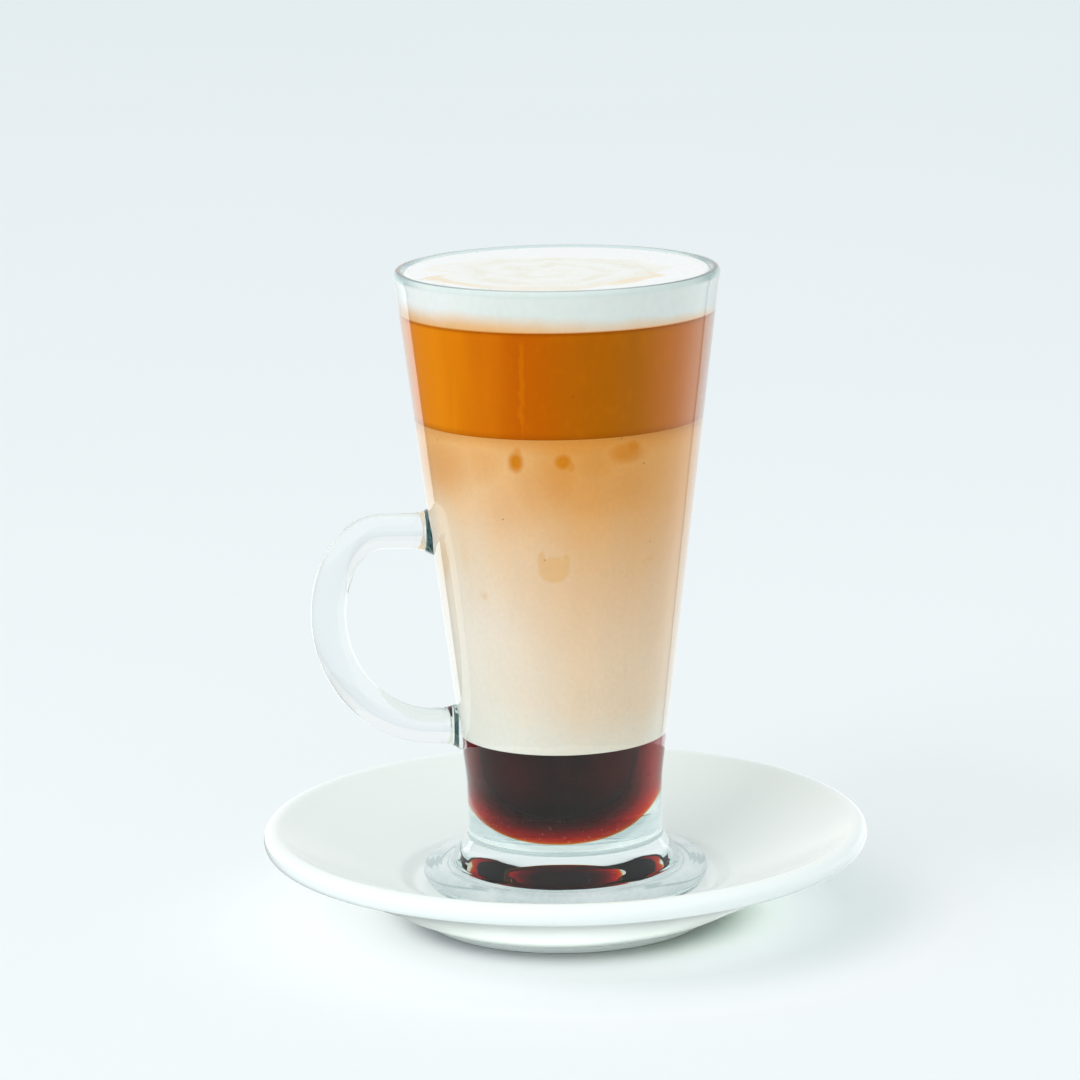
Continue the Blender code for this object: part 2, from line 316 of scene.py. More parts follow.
def through(points, steps):
    """Smooth outline through points, as a chordal Catmull-Rom curve."""
    ends = [points[0]] + list(points) + [points[-1]]
    smooth = [points[0]]
    for before, start, end, after in zip(ends, ends[1:], ends[2:], ends[3:]):
        p0, p1, p2, p3 = (np.array(point) for point in (before, start, end, after))
        span = np.linalg.norm(p2 - p1)
        slope_in = (p2 - p0) * span / max(np.linalg.norm(p2 - p1) + np.linalg.norm(p1 - p0), 1e-9)
        slope_out = (p3 - p1) * span / max(np.linalg.norm(p3 - p2) + span, 1e-9)
        for step in range(1, steps + 1):
            t = step / steps
            place = (2 * t**3 - 3 * t**2 + 1) * p1 + (t**3 - 2 * t**2 + t) * slope_in
            place = place + (3 * t**2 - 2 * t**3) * p2 + (t**3 - t**2) * slope_out
            smooth.append((float(place[0]), float(place[1])))
    return smooth


BOWL_CROWDING = 1.35
WALL_CROWDING = 1.6


def bowl_heights(glass, steps):
    """Heights up the rounded bottom, closest together where it is flattest."""
    heights = []
    for step in range(1, steps + 1):
        turn = 0.5 * math.pi * step / steps
        heights.append(BOWL_BOTTOM + glass.bowl_depth * (1.0 - math.cos(turn)) ** BOWL_CROWDING)
    return heights


def wall_heights(low, high, steps):
    """Heights up the cavity wall, closest together where the glass thickens."""
    return [blend(low, high, (step / steps) ** WALL_CROWDING) for step in range(steps + 1)]


def turned_mesh(name, profile, sides, shift=None):
    """Closed mesh turned about Z from a profile that runs from axis to axis."""
    rings = profile[1:-1]
    turns = np.linspace(0.0, 2.0 * math.pi, sides, endpoint=False)
    across = np.cos(turns)
    along = np.sin(turns)
    places = []
    for radius, height in rings:
        centre = shift(radius, height) if shift else 0.0
        ring = np.stack([centre + radius * across, radius * along, np.full(sides, height)], 1)
        places.append(ring)
    first = [shift(*profile[0]) if shift else 0.0, 0.0, profile[0][1]]
    last = [shift(*profile[-1]) if shift else 0.0, 0.0, profile[-1][1]]
    places = np.concatenate(places + [[first], [last]])
    start = len(rings) * sides
    faces = []
    for ring in range(len(rings) - 1):
        for side in range(sides):
            near = ring * sides + side
            far = ring * sides + (side + 1) % sides
            faces.append((near, near + sides, far + sides, far))
    for side in range(sides):
        faces.append((start, side, (side + 1) % sides))
        outer = (len(rings) - 1) * sides
        faces.append((start + 1, outer + (side + 1) % sides, outer + side))
    mesh = bpy.data.meshes.new(name)
    mesh.from_pydata(places.tolist(), [], faces)
    mesh.validate()
    return mesh


def add_object(name, data):
    """Object in the scene for a mesh, a camera or a light."""
    item = bpy.data.objects.new(name, data)
    bpy.context.scene.collection.objects.link(item)
    return item


def add_piece(name, mesh, *materials):
    """Object for a finished mesh, with smooth faces and outward normals."""
    work = bmesh.new()
    work.from_mesh(mesh)
    bmesh.ops.remove_doubles(work, verts=work.verts, dist=1e-7)
    bmesh.ops.recalc_face_normals(work, faces=work.faces)
    work.to_mesh(mesh)
    work.free()
    mesh.polygons.foreach_set("use_smooth", [True] * len(mesh.polygons))
    for finish in materials:
        mesh.materials.append(finish)
    return add_object(name, mesh)


def settle(item, node_name, slot_name):
    """Let a piece ride on the frame and stand for its solid."""
    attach(item, "root")
    if node_name:
        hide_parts(node_name)


# ---------------------------------------------------------------- materials

BLACK = (0.0, 0.0, 0.0)
WHITE = (1.0, 1.0, 1.0)


def new_material(name):
    """Empty material with its shader and output."""
    made = bpy.data.materials.new(name)
    made.use_nodes = True
    return made, made.node_tree, made.node_tree.nodes["Principled BSDF"]


def add_node(tree, kind, **settings):
    """New node with its plain settings."""
    made = tree.nodes.new(kind)
    for key, value in settings.items():
        setattr(made, key, value)
    return made


def feed(socket, value):
    """Set an input from a number, a colour or another node's output."""
    if isinstance(value, Signal):
        value = value.socket
    if isinstance(value, bpy.types.NodeSocket):
        socket.id_data.links.new(value, socket)
    elif isinstance(value, (int, float)):
        socket.default_value = value
    else:
        room = len(socket.default_value) - len(value)
        socket.default_value = (*value, *(1.0,) * room)


def set_inputs(node, **values):
    """Set a node's plain inputs by name, with _ for a space."""
    for label, value in values.items():
        node.inputs[label.replace("_", " ")].default_value = value


class Signal:
    """A number made by a shader's nodes, so that sums of such numbers read as sums."""

    def __init__(self, socket):
        self.socket = socket

    def maths(self, operation, *others):
        """Output of a Math node that takes this number and others."""
        return maths_node(operation, self, *others)

    def remap(self, low, high, to_low=0.0, to_high=1.0, smooth=True):
        """Output of a Map Range node."""
        made = add_node(self.socket.id_data, "ShaderNodeMapRange")
        made.interpolation_type = "SMOOTHSTEP" if smooth else "LINEAR"
        for socket, value in zip(made.inputs, (self, low, high, to_low, to_high)):
            feed(socket, value)
        return Signal(made.outputs[0])

    def at_least(self, other):
        """The greater of this number and another."""
        return self.maths("MAXIMUM", other)

    def __add__(self, other):
        return self.maths("ADD", other)

    def __sub__(self, other):
        return self.maths("SUBTRACT", other)

    def __rsub__(self, other):
        return maths_node("SUBTRACT", other, self)

    def __mul__(self, other):
        return self.maths("MULTIPLY", other)

    def __truediv__(self, other):
        return self.maths("DIVIDE", other)

    def __pow__(self, other):
        return self.maths("POWER", other)

    def __abs__(self):
        return self.maths("ABSOLUTE")


def maths_node(operation, *values):
    """Output of a Math node in the tree that its numbers come from."""
    tree = next(value for value in values if isinstance(value, Signal)).socket.id_data
    made = add_node(tree, "ShaderNodeMath", operation=operation)
    for socket, value in zip(made.inputs, values):
        feed(socket, value)
    return Signal(made.outputs[0])


def squared(value):
    """A number times itself."""
    return value * value


def diagonal(first, second):
    """Length of the diagonal of two lengths at right angles."""
    return (squared(first) + squared(second)).maths("SQRT")


def mix_colour(tree, share, first, second, how="MIX"):
    """Output of a colour Mix node."""
    made = add_node(tree, "ShaderNodeMix", data_type="RGBA", blend_type=how)
    feed(made.inputs["Factor"], share)
    feed(made.inputs[6], first)
    feed(made.inputs[7], second)
    return made.outputs[2]


def blend_colour(first, second, share):
    """Colour between two colours."""
    return tuple(blend(a, b, share) for a, b in zip(first, second))


def ramp(value, stops):
    """Output of a colour ramp with (place, colour) stops."""
    made = add_node(value.socket.id_data, "ShaderNodeValToRGB")
    feed(made.inputs[0], value)
    steps = made.color_ramp.elements
    while len(steps) < len(stops):
        steps.new(0.5)
    for step, (place, shade) in zip(steps, stops):
        step.position = place
        step.color = (*tuple(shade)[:3], 1.0)
    return made.outputs[0]


def split(vector):
    """The three parts of a vector."""
    parts = add_node(vector.id_data, "ShaderNodeSeparateXYZ")
    feed(parts.inputs[0], vector)
    return tuple(Signal(part) for part in parts.outputs)


def object_place(tree):
    """Object coordinates, and their three parts."""
    place = add_node(tree, "ShaderNodeTexCoord").outputs["Object"]
    return (place, *split(place))


def group_with(name, inputs, outputs, kind="ShaderNodeTree"):
    """New node group with named sockets."""
    group = bpy.data.node_groups.new(name, kind)
    for label, socket_type, default in inputs:
        socket = group.interface.new_socket(label, in_out="INPUT", socket_type=socket_type)
        if default is not None:
            socket.default_value = default
    for label, socket_type in outputs:
        group.interface.new_socket(label, in_out="OUTPUT", socket_type=socket_type)
    return group, group.nodes.new("NodeGroupInput"), group.nodes.new("NodeGroupOutput")


def drift_group():
    """Slow cloudy variation of a liquid, stretched upwards."""
    name = "liquid_drift"
    if name in bpy.data.node_groups:
        return bpy.data.node_groups[name]
    inputs = [
        ("Vector", "NodeSocketVector", None),
        ("Scale", "NodeSocketFloat", 40.0),
        ("Stretch", "NodeSocketFloat", 0.4),
        ("Detail", "NodeSocketFloat", 3.0),
        ("Warp", "NodeSocketFloat", 0.5),
    ]
    group, entry, leave = group_with(name, inputs, [("Cloud", "NodeSocketFloat")])
    squeeze = add_node(group, "ShaderNodeCombineXYZ")
    set_inputs(squeeze, X=1.0, Y=1.0)
    feed(squeeze.inputs["Z"], entry.outputs["Stretch"])
    place = add_node(group, "ShaderNodeVectorMath", operation="MULTIPLY")
    feed(place.inputs[0], entry.outputs["Vector"])
    feed(place.inputs[1], squeeze.outputs[0])
    cloud = add_node(group, "ShaderNodeTexNoise", noise_dimensions="3D")
    feed(cloud.inputs["Vector"], place.outputs[0])
    for label, source in (("Scale", "Scale"), ("Detail", "Detail"), ("Distortion", "Warp")):
        feed(cloud.inputs[label], entry.outputs[source])
    feed(leave.inputs[0], cloud.outputs[0])
    return group


def speck_group():
    """Mask of fine specks and tiny bubbles."""
    name = "fine_specks"
    if name in bpy.data.node_groups:
        return bpy.data.node_groups[name]
    inputs = [
        ("Vector", "NodeSocketVector", None),
        ("Spacing", "NodeSocketFloat", 400.0),
        ("Size", "NodeSocketFloat", 0.12),
        ("Share", "NodeSocketFloat", 0.2),
    ]
    group, entry, leave = group_with(name, inputs, [("Mask", "NodeSocketFloat")])
    cells = add_node(group, "ShaderNodeTexVoronoi", feature="F1")
    feed(cells.inputs["Vector"], entry.outputs["Vector"])
    feed(cells.inputs["Scale"], entry.outputs["Spacing"])
    near = Signal(cells.outputs["Distance"]).maths("LESS_THAN", entry.outputs["Size"])
    parts = add_node(group, "ShaderNodeSeparateColor")
    feed(parts.inputs[0], cells.outputs["Color"])
    kept = Signal(parts.outputs[0]).maths("LESS_THAN", entry.outputs["Share"])
    feed(leave.inputs[0], near * kept)
    return group


def placed_group(group, vector, **values):
    """Group node in a material, with its own values; returns its first output."""
    made = add_node(vector.id_data, "ShaderNodeGroup", node_tree=group)
    feed(made.inputs["Vector"], vector)
    for label, value in values.items():
        made.inputs[label.capitalize()].default_value = value
    return Signal(made.outputs[0])


def drift(place, scale, stretch, detail, warp):
    """Cloudy variation at a place."""
    values = {"scale": scale, "stretch": stretch, "detail": detail, "warp": warp}
    return placed_group(drift_group(), place, **values)


def make_clear(shader, ior):
    """Make a finish clear and smooth, bending light as much as its index says."""
    set_inputs(shader, Roughness=0.0, IOR=ior, Transmission_Weight=1.0, Metallic=0.0)


def paint(shader, shade, roughness, gloss):
    """Give a finish its colour, roughness and gloss."""
    feed(shader.inputs["Base Color"], shade)
    set_inputs(shader, Roughness=roughness, Specular_IOR_Level=gloss)


def make_uneven(tree, shader, height, strength, distance):
    """Bend a finish's normals as if its surface rose and fell with a height."""
    bump = add_node(tree, "ShaderNodeBump")
    set_inputs(bump, Strength=strength, Distance=distance)
    feed(bump.inputs["Height"], height)
    feed(shader.inputs["Normal"], bump.outputs[0])


def make_absorbing(tree, shade, density):
    """Let the inside of a finish absorb light; returns the density's socket."""
    soaking = add_node(tree, "ShaderNodeVolumeAbsorption")
    feed(soaking.inputs["Color"], shade)
    feed(soaking.inputs["Density"], density)
    feed(tree.nodes["Material Output"].inputs["Volume"], soaking.outputs[0])
    return soaking.inputs["Density"]


def clear_for_soft_light(tree, shader, left):
    """Let shadow rays and scattered light pass, so that the drink inside is lit."""
    path = add_node(tree, "ShaderNodeLightPath")
    soft = Signal(path.outputs["Is Shadow Ray"]).at_least(path.outputs["Is Diffuse Ray"])
    feed(shader.inputs["Alpha"], 1.0 - soft * (1.0 - left))


def edge_tint(tree, glass):
    """Light let through: less along the wall's outline, round the lip and on its inner line."""
    across, along, up = object_place(tree)[1:]
    reach = diagonal(across, along)
    lip = glass.rim_top - glass.lip_round
    above = up - lip
    wall = above * glass.taper + glass.line_radius
    on_wall = (reach - wall).remap(0.0004, 0.0012, 1.0, 0.0)
    facing = Signal(add_node(tree, "ShaderNodeLayerWeight").outputs["Facing"])
    thin = facing.remap(0.6, 0.83, 0.0, 0.9, smooth=False)
    milk_top = drink_settings().milk_top
    thin = thin * up.remap(milk_top - 0.004, milk_top + 0.001, 0.65, 1.0)
    tint = mix_colour(tree, thin * on_wall, WHITE, glass.edge_dark)
    high = above.remap(-0.0006, 0.0004)
    ends = abs(across).remap(0.031, 0.0375)
    lip_tint = mix_colour(tree, ends, glass.lip_tint, glass.lip_ends)
    tint = mix_colour(tree, high, tint, lip_tint)
    line = above.remap(0.8 * glass.lip_round, 0.92 * glass.lip_round)
    line = line * along.remap(0.02, -0.01, 0.3, 0.95)
    line = line * abs(across).remap(0.01, 0.033, 0.65, 1.0)
    return mix_colour(tree, line, tint, glass.lip_line)


# The bowl as it looks through the solid base, which gathers light only outside it: half its
# width, the height of its middle and half its height.
BASE_REACH = 0.023
BASE_TOP = 0.0345
BASE_DEPTH = 0.0125


def caught_light(tree, shader, glass, clear=WHITE):
    """Light caught in the glass, which ends a ray turned many times, and in its solid base."""
    place, across, _, up = object_place(tree)
    smear = drift(place, 260.0, 0.3, 2.0, 0.6)
    deep = mix_colour(tree, smear.remap(0.35, 0.65), glass.seam, glass.seam_pale)
    high = up.remap(glass.stem_bottom + 0.001, glass.stem_bottom + 0.006)
    held = mix_colour(tree, high, glass.caught, deep)
    path = add_node(tree, "ShaderNodeLightPath")
    depth = Signal(path.outputs["Ray Depth"])
    late = depth.maths("GREATER_THAN", glass.turns - 0.5)
    first = depth.maths("LESS_THAN", glass.turns + 0.5)
    feed(shader.inputs["Base Color"], mix_colour(tree, late, clear, BLACK))
    glow = mix_colour(tree, late * first, BLACK, held)
    beside = squared(across / BASE_REACH)
    under = squared((up - BASE_TOP) / BASE_DEPTH)
    solid = (beside + under).remap(1.0, 1.2)
    solid = solid * up.remap(glass.stem_bottom, glass.stem_bottom + 0.0015)
    solid = solid * up.remap(0.036, 0.033)
    straight = depth.maths("LESS_THAN", 0.5)
    gathered = mix_colour(tree, solid * straight, BLACK, glass.gathered)
    feed(shader.inputs["Emission Color"], mix_colour(tree, 1.0, glow, gathered, "ADD"))
    set_inputs(shader, Emission_Strength=1.0)


def clear_glass_finish(glass):
    """Clear pressed glass that greys to teal where it is thick."""
    made, tree, shader = new_material("pressed_glass")
    caught_light(tree, shader, glass, edge_tint(tree, glass))
    make_clear(shader, 1.5)
    ripple = drift(object_place(tree)[0], 70.0, 1.0, 1.0, 0.3)
    make_uneven(tree, shader, ripple, 0.08, 0.001)
    make_absorbing(tree, glass.tint, glass.tint_density)
    clear_for_soft_light(tree, shader, 0.03)
    return made


# Painted shade: dark lines round the ring under the foot: radius, breadth and strength of each.
RING_SHADE_LINES = ((0.0236, 0.0005, 0.30), (0.0290, 0.0004, 0.45), (0.0322, 0.0006, 0.55))


def standing_ring_finish():
    """Pale rough ring under the foot, painted light that stands for the light seen through the clear
    foot, with lines of painted shade.
    """
    made, tree, shader = new_material("painted_light_ring")
    place, across, along, _ = object_place(tree)
    grain = drift(place, 900.0, 1.0, 2.0, 0.0)
    broad = drift(place, 90.0, 1.0, 1.0, 0.3)
    mixed = grain * 0.4 + broad * 0.6
    shade = ramp(mixed, [(0.35, linear(216, 231, 232)), (0.65, linear(246, 253, 253))])
    reach = diagonal(across, along)
    for radius, breadth, strength in RING_SHADE_LINES:
        line = abs(reach - radius).remap(0.4 * breadth, breadth, strength, 0.0)
        shade = mix_colour(tree, line, shade, linear(134, 164, 168))
    paint(shader, shade, 0.45, 0.3)
    return made


def wetted_glass_finish(glass):
    """Cavity wall under the drink, where no air lies between: it can't be seen."""
    made, tree, shader = new_material("wetted_glass")
    caught_light(tree, shader, glass)
    make_clear(shader, 1.0)
    clear_for_soft_light(tree, shader, 0.0)
    return made


def syrup_finish(glass, drink):
    """Clear dark syrup, orange to red where light gets through."""
    made, tree, shader = new_material("clear_syrup")
    feed(shader.inputs["Base Color"], WHITE)
    make_clear(shader, 1.0)
    across, along, up = object_place(tree)[1:]
    reach = diagonal(across - glass.bowl_shift, along)
    bowl_top = BOWL_BOTTOM + glass.bowl_depth
    out = (reach / cavity_wall(glass, bowl_top)) ** glass.bowl_power
    below = (bowl_top - up).at_least(0.0)
    down = (below / glass.bowl_depth) ** glass.bowl_power
    near_wall = (out + down) ** (1.0 / glass.bowl_power)
    heart = near_wall.remap(0.55, 0.93, drink.syrup_heart, 0.0)
    density = make_absorbing(tree, drink.syrup, 2.0 * drink.syrup_density)
    feed(density, (heart + 1.0) * drink.syrup_density)
    return made


def syrup_core_finish():
    """Heart of the syrup, too dark for light to pass, with painted light making it lighter towards its
    sides along X.
    """
    made, tree, shader = new_material("syrup_core")
    place, across = object_place(tree)[:2]
    cloud = drift(place, 90.0, 1.0, 2.0, 0.4)
    # Painted light: the heart is lighter and redder towards its sides along X, as where light gets
    # through the syrup.
    out = abs(across).remap(0.002, 0.011)
    dark = ramp(cloud, [(0.3, linear(60, 34, 30)), (0.7, linear(84, 46, 42))])
    paint(shader, mix_colour(tree, out, dark, linear(132, 60, 50)), 0.6, 0.0)
    return made


def marks(across, up, rows):
    """Mask of oval marks on the drink's side: each row's place, size, softness and strength."""
    joined = None
    for place, size, soft, strength in rows:
        reach = diagonal((across - place[0]) / size[0], (up - place[1]) / size[1])
        one = reach.remap(1.0 - soft, 1.0 + soft, 1.0, 0.0) * strength
        joined = one if joined is None else joined.at_least(one)
    return joined


def front_half(along):
    """Mask of the drink's front, where the marks are."""
    return along.remap(-0.004, 0.0, 1.0, 0.0)


# Coffee that has sunk into the top of the milk: a mark's place, size, softness and strength.
STAINS = (
    ((-0.0100, 0.1195), (0.0016, 0.0024), 0.55, 1.0),
    ((-0.0097, 0.1215), (0.0010, 0.0020), 0.60, 0.60),
    ((0.0008, 0.1196), (0.0019, 0.0019), 0.55, 1.0),
    ((0.0026, 0.1183), (0.0010, 0.0013), 0.60, 0.60),
    ((0.0152, 0.1212), (0.0038, 0.0026), 0.60, 0.75),
    ((0.0168, 0.1222), (0.0017, 0.0018), 0.60, 0.90),
    ((-0.0275, 0.1165), (0.0065, 0.0070), 0.80, 0.45),
    ((-0.0180, 0.1180), (0.0040, 0.0050), 0.70, 0.25),
    ((-0.0060, 0.1130), (0.0045, 0.0060), 0.80, 0.22),
    ((0.0070, 0.1120), (0.0060, 0.0050), 0.80, 0.22),
    ((-0.0010, 0.1150), (0.0050, 0.0060), 0.80, 0.35),
    ((0.0080, 0.1185), (0.0050, 0.0040), 0.80, 0.30),
    ((0.0150, 0.1130), (0.0060, 0.0050), 0.90, 0.22),
    ((-0.0130, 0.1080), (0.0050, 0.0060), 0.90, 0.15),
)
# Splashes of coffee lower down, in the same order.
SPLASHES = (
    ((-0.0017, 0.0930), (0.0035, 0.0032), 0.16, 0.52),
    ((-0.0044, 0.0952), (0.0009, 0.0024), 0.30, 0.50),
    ((0.0011, 0.0950), (0.0010, 0.0018), 0.30, 0.48),
    ((-0.0176, 0.0853), (0.0008, 0.0008), 0.60, 0.30),
    ((0.0203, 0.0940), (0.0010, 0.0006), 0.60, 0.30),
    ((0.0190, 0.0930), (0.0005, 0.0012), 0.60, 0.22),
    ((-0.0262, 0.0920), (0.0009, 0.0046), 0.50, 0.26),
    ((-0.0220, 0.0950), (0.0007, 0.0030), 0.90, 0.12),
)


def milk_finish(drink):
    """Milk, cream below and peach towards the coffee, with stains and drifts."""
    made, tree, shader = new_material("layered_milk")
    place, across, along, up = object_place(tree)
    cloud = drift(place, 24.0, 0.7, 3.0, 0.8)
    fine = drift(place, 130.0, 0.35, 3.0, 0.6)
    sway = (cloud - 0.5) * 0.016
    level = up + (sway + (fine - 0.5) * 0.006)
    share = level.remap(drink.syrup_top, drink.milk_top, smooth=False)
    near_handle = [
        (0.00, drink.milk_low),
        (0.16, blend_colour(drink.milk_low, drink.milk_cream, 0.75)),
        (0.38, drink.milk_cream),
        (0.61, drink.milk_beige),
        (0.77, blend_colour(drink.milk_beige, drink.milk_warm, 0.40)),
        (1.00, drink.milk_warm),
    ]
    away = [
        (0.00, blend_colour(drink.milk_low, drink.milk_blush, 0.45)),
        (0.14, drink.milk_blush),
        (0.30, blend_colour(drink.milk_blush, drink.milk_tan, 0.25)),
        (0.57, drink.milk_tan),
        (0.78, blend_colour(drink.milk_tan, drink.milk_peach, 0.70)),
        (1.00, drink.milk_peach),
    ]
    side = (across + sway).remap(-0.027, 0.003, smooth=False)
    shade = mix_colour(tree, side, ramp(share, near_handle), ramp(share, away))
    front = front_half(along)
    stain = marks(across, up, STAINS) * front
    deep = (up + cloud * 0.012).remap(drink.milk_top + 0.0008, drink.milk_top + 0.0065)
    stain = stain.at_least(deep * 0.45)
    shade = mix_colour(tree, stain, shade, drink.stain)
    splash = marks(across, up, SPLASHES) * front
    shade = mix_colour(tree, splash, shade, linear(226, 172, 104))
    speck = placed_group(speck_group(), place, spacing=210.0, size=0.042, share=0.34)
    shade = mix_colour(tree, speck * 0.65, shade, linear(110, 78, 54))
    grain = drift(place, 1150.0, 0.85, 2.0, 0.2)
    tone = (
        grain.remap(0.3, 0.7, 0.99, 1.036, smooth=False)
        + fine.remap(0.35, 0.65, -0.014, 0.014, smooth=False)
    )
    tone = tone * across.remap(0.006, 0.022, 1.0, 0.955)
    paint(shader, mix_colour(tree, 1.0, shade, tone, "MULTIPLY"), 0.5, 0.0)
    return made


# Where the two pale trails run down the coffee, in metres towards the handle.
TRAILS = (0.0083, 0.0236)


def coffee_finish(drink):
    """Amber coffee with faint upright streaks, its colour partly its own and partly painted light and
    shade: golden on the side of the handle, browner on the far side.
    """
    made, tree, shader = new_material("amber_coffee")
    place, across, along, up = object_place(tree)
    streak = drift(place, 95.0, 0.06, 3.0, 0.15)
    sway = (streak - 0.5) * 0.016
    share = (across + sway).remap(-0.03, 0.03, smooth=False)
    # Partly the coffee's amber, partly painted light and shade: golden on the side of the handle, where
    # the light falls, browner on the far side.
    stops = [
        (0.02, drink.coffee_gold),
        (0.17, drink.coffee_amber),
        (0.34, drink.coffee_red),
        (0.50, blend_colour(drink.coffee_red, drink.coffee_brown_shaded, 0.30)),
        (0.76, drink.coffee_brown_shaded),
        (0.97, blend_colour(drink.coffee_brown_shaded, drink.coffee_amber, 0.5)),
    ]
    shade = ramp(share, stops)
    grain = drift(place, 420.0, 0.5, 3.0, 0.6)
    shade = mix_colour(tree, grain.remap(0.5, 0.75, 0.0, 0.1), shade, drink.coffee_gold)
    speck = placed_group(speck_group(), place, spacing=330.0, size=0.09, share=0.16)
    away = across.remap(-0.012, 0.024, 0.05, 0.55)
    shade = mix_colour(tree, speck * away, shade, linear(96, 40, 8))
    wobble = (grain - 0.5) * 0.003
    trail = (abs(across + TRAILS[0]) + wobble).remap(0.0001, 0.0006, 0.26, 0.0)
    short = (abs(across + TRAILS[1]) + wobble).remap(0.0001, 0.0008, 0.3, 0.0)
    short = short * up.remap(drink.coffee_top - 0.01, drink.coffee_top - 0.012)
    low = up.remap(drink.coffee_top - 0.0012, drink.coffee_top - 0.0035)
    drip = trail.at_least(short) * low * front_half(along)
    shade = mix_colour(tree, drip, shade, drink.coffee_gold)
    top = up.remap(drink.coffee_top - 0.0009, drink.coffee_top - 0.0002, 0.0, 0.45)
    foot = up.remap(drink.milk_top + 0.0018, drink.milk_top + 0.0002, 0.0, 0.35)
    dark = blend_colour(drink.coffee_red, BLACK, 0.45)
    paint(shader, mix_colour(tree, top.at_least(foot), shade, dark), 0.5, 0.0)
    return made


def foam_finish(drink):
    """Milk foam: white, tan above the coffee, with painted shade greying its side and a beige swirl on
    top.
    """
    made, tree, shader = new_material("milk_foam")
    place, across, along, up = object_place(tree)
    cloud = drift(place, 55.0, 0.5, 3.0, 0.4)
    sway = (cloud - 0.5) * 0.003
    depth = across.remap(-0.004, 0.032, 0.005, 0.0024, smooth=False)
    lift = up + sway - drink.coffee_top
    tan = (lift / depth).remap(0.0, 1.0, 1.0, 0.0)
    strength = across.remap(-0.016, 0.012, 1.0, 0.65)
    # Painted shade: the foam's side, below its top, is greyer, less so on the side of the handle where
    # the light falls.
    side = up.remap(drink.foam_edge - 0.0004, drink.foam_edge - 0.0014)
    grey = side * across.remap(-0.04, -0.01, 0.25, 1.0)
    shade = mix_colour(tree, grey, drink.foam, drink.foam_side_shade)
    shade = mix_colour(tree, tan * strength, shade, drink.crema)
    line = up.remap(drink.coffee_top + 0.0001, drink.coffee_top + 0.0004, 0.75, 0.0)
    shade = mix_colour(tree, line, shade, drink.coffee_gold)
    shade = swirl_colour(tree, drink, place, across, along, up, shade)
    grain = drift(place, 700.0, 0.8, 2.0, 0.2)
    tone = grain.remap(0.3, 0.7, 0.97, 1.01, smooth=False)
    paint(shader, mix_colour(tree, 1.0, shade, tone, "MULTIPLY"), 0.55, 0.15)
    return made


def swirl_colour(tree, drink, place, across, along, up, shade):
    """Beige swirl and caramel arcs laid over the foam's colour."""
    right = across - drink.swirl_x
    ahead = along - drink.swirl_y
    turn = ahead.maths("ARCTAN2", right)
    cloud = drift(place, 48.0, 1.0, 2.0, 0.8)
    radius = diagonal(right, ahead) + (cloud - 0.5) * 0.02
    on_top = up.remap(drink.foam_edge - 0.0012, drink.foam_edge - 0.0004)
    inside = radius.remap(drink.swirl_radius * 0.84, drink.swirl_radius * 1.04, 1.0, 0.0)
    lines = (radius * COLOUR_WINDING + turn).maths("SINE").maths("MULTIPLY_ADD", 0.5, 0.5)
    smear = drift(place, 85.0, 1.0, 3.0, 1.5)
    streaks = lines * smear.remap(0.35, 0.65, 0.35, 1.0)
    body = inside * streaks.remap(0.0, 0.9, 0.35, 1.0)
    shade = mix_colour(tree, body * on_top, shade, drink.swirl)
    warm = inside * ahead.remap(-0.016, -0.024) * on_top * 0.25
    shade = mix_colour(tree, warm, shade, drink.caramel)
    ring = abs(radius - drink.swirl_radius * 0.95).remap(0.0003, 0.0022, 1.0, 0.0)
    sides = abs(turn.maths("COSINE")).remap(0.3, 0.85)
    front = ahead.remap(0.004, -0.004)
    arcs = ring * sides * on_top * front.remap(0.0, 1.0, 0.15, 0.6)
    return mix_colour(tree, arcs, shade, drink.caramel)


def glaze_finish(saucer):
    """White glaze, with the slight waviness of a fired surface."""
    made, tree, shader = new_material("white_glaze")
    cloud = drift(object_place(tree)[0], 30.0, 1.0, 2.0, 0.2)
    shade = ramp(cloud, [(0.35, saucer.glaze), (0.7, blend_colour(saucer.glaze, WHITE, 0.1))])
    paint(shader, shade, 0.16, 0.3)
    set_inputs(shader, Coat_Weight=0.12, Coat_Roughness=0.05)
    make_uneven(tree, shader, cloud, 0.06, 0.002)
    return made


# ---------------------------------------------------------------- pieces


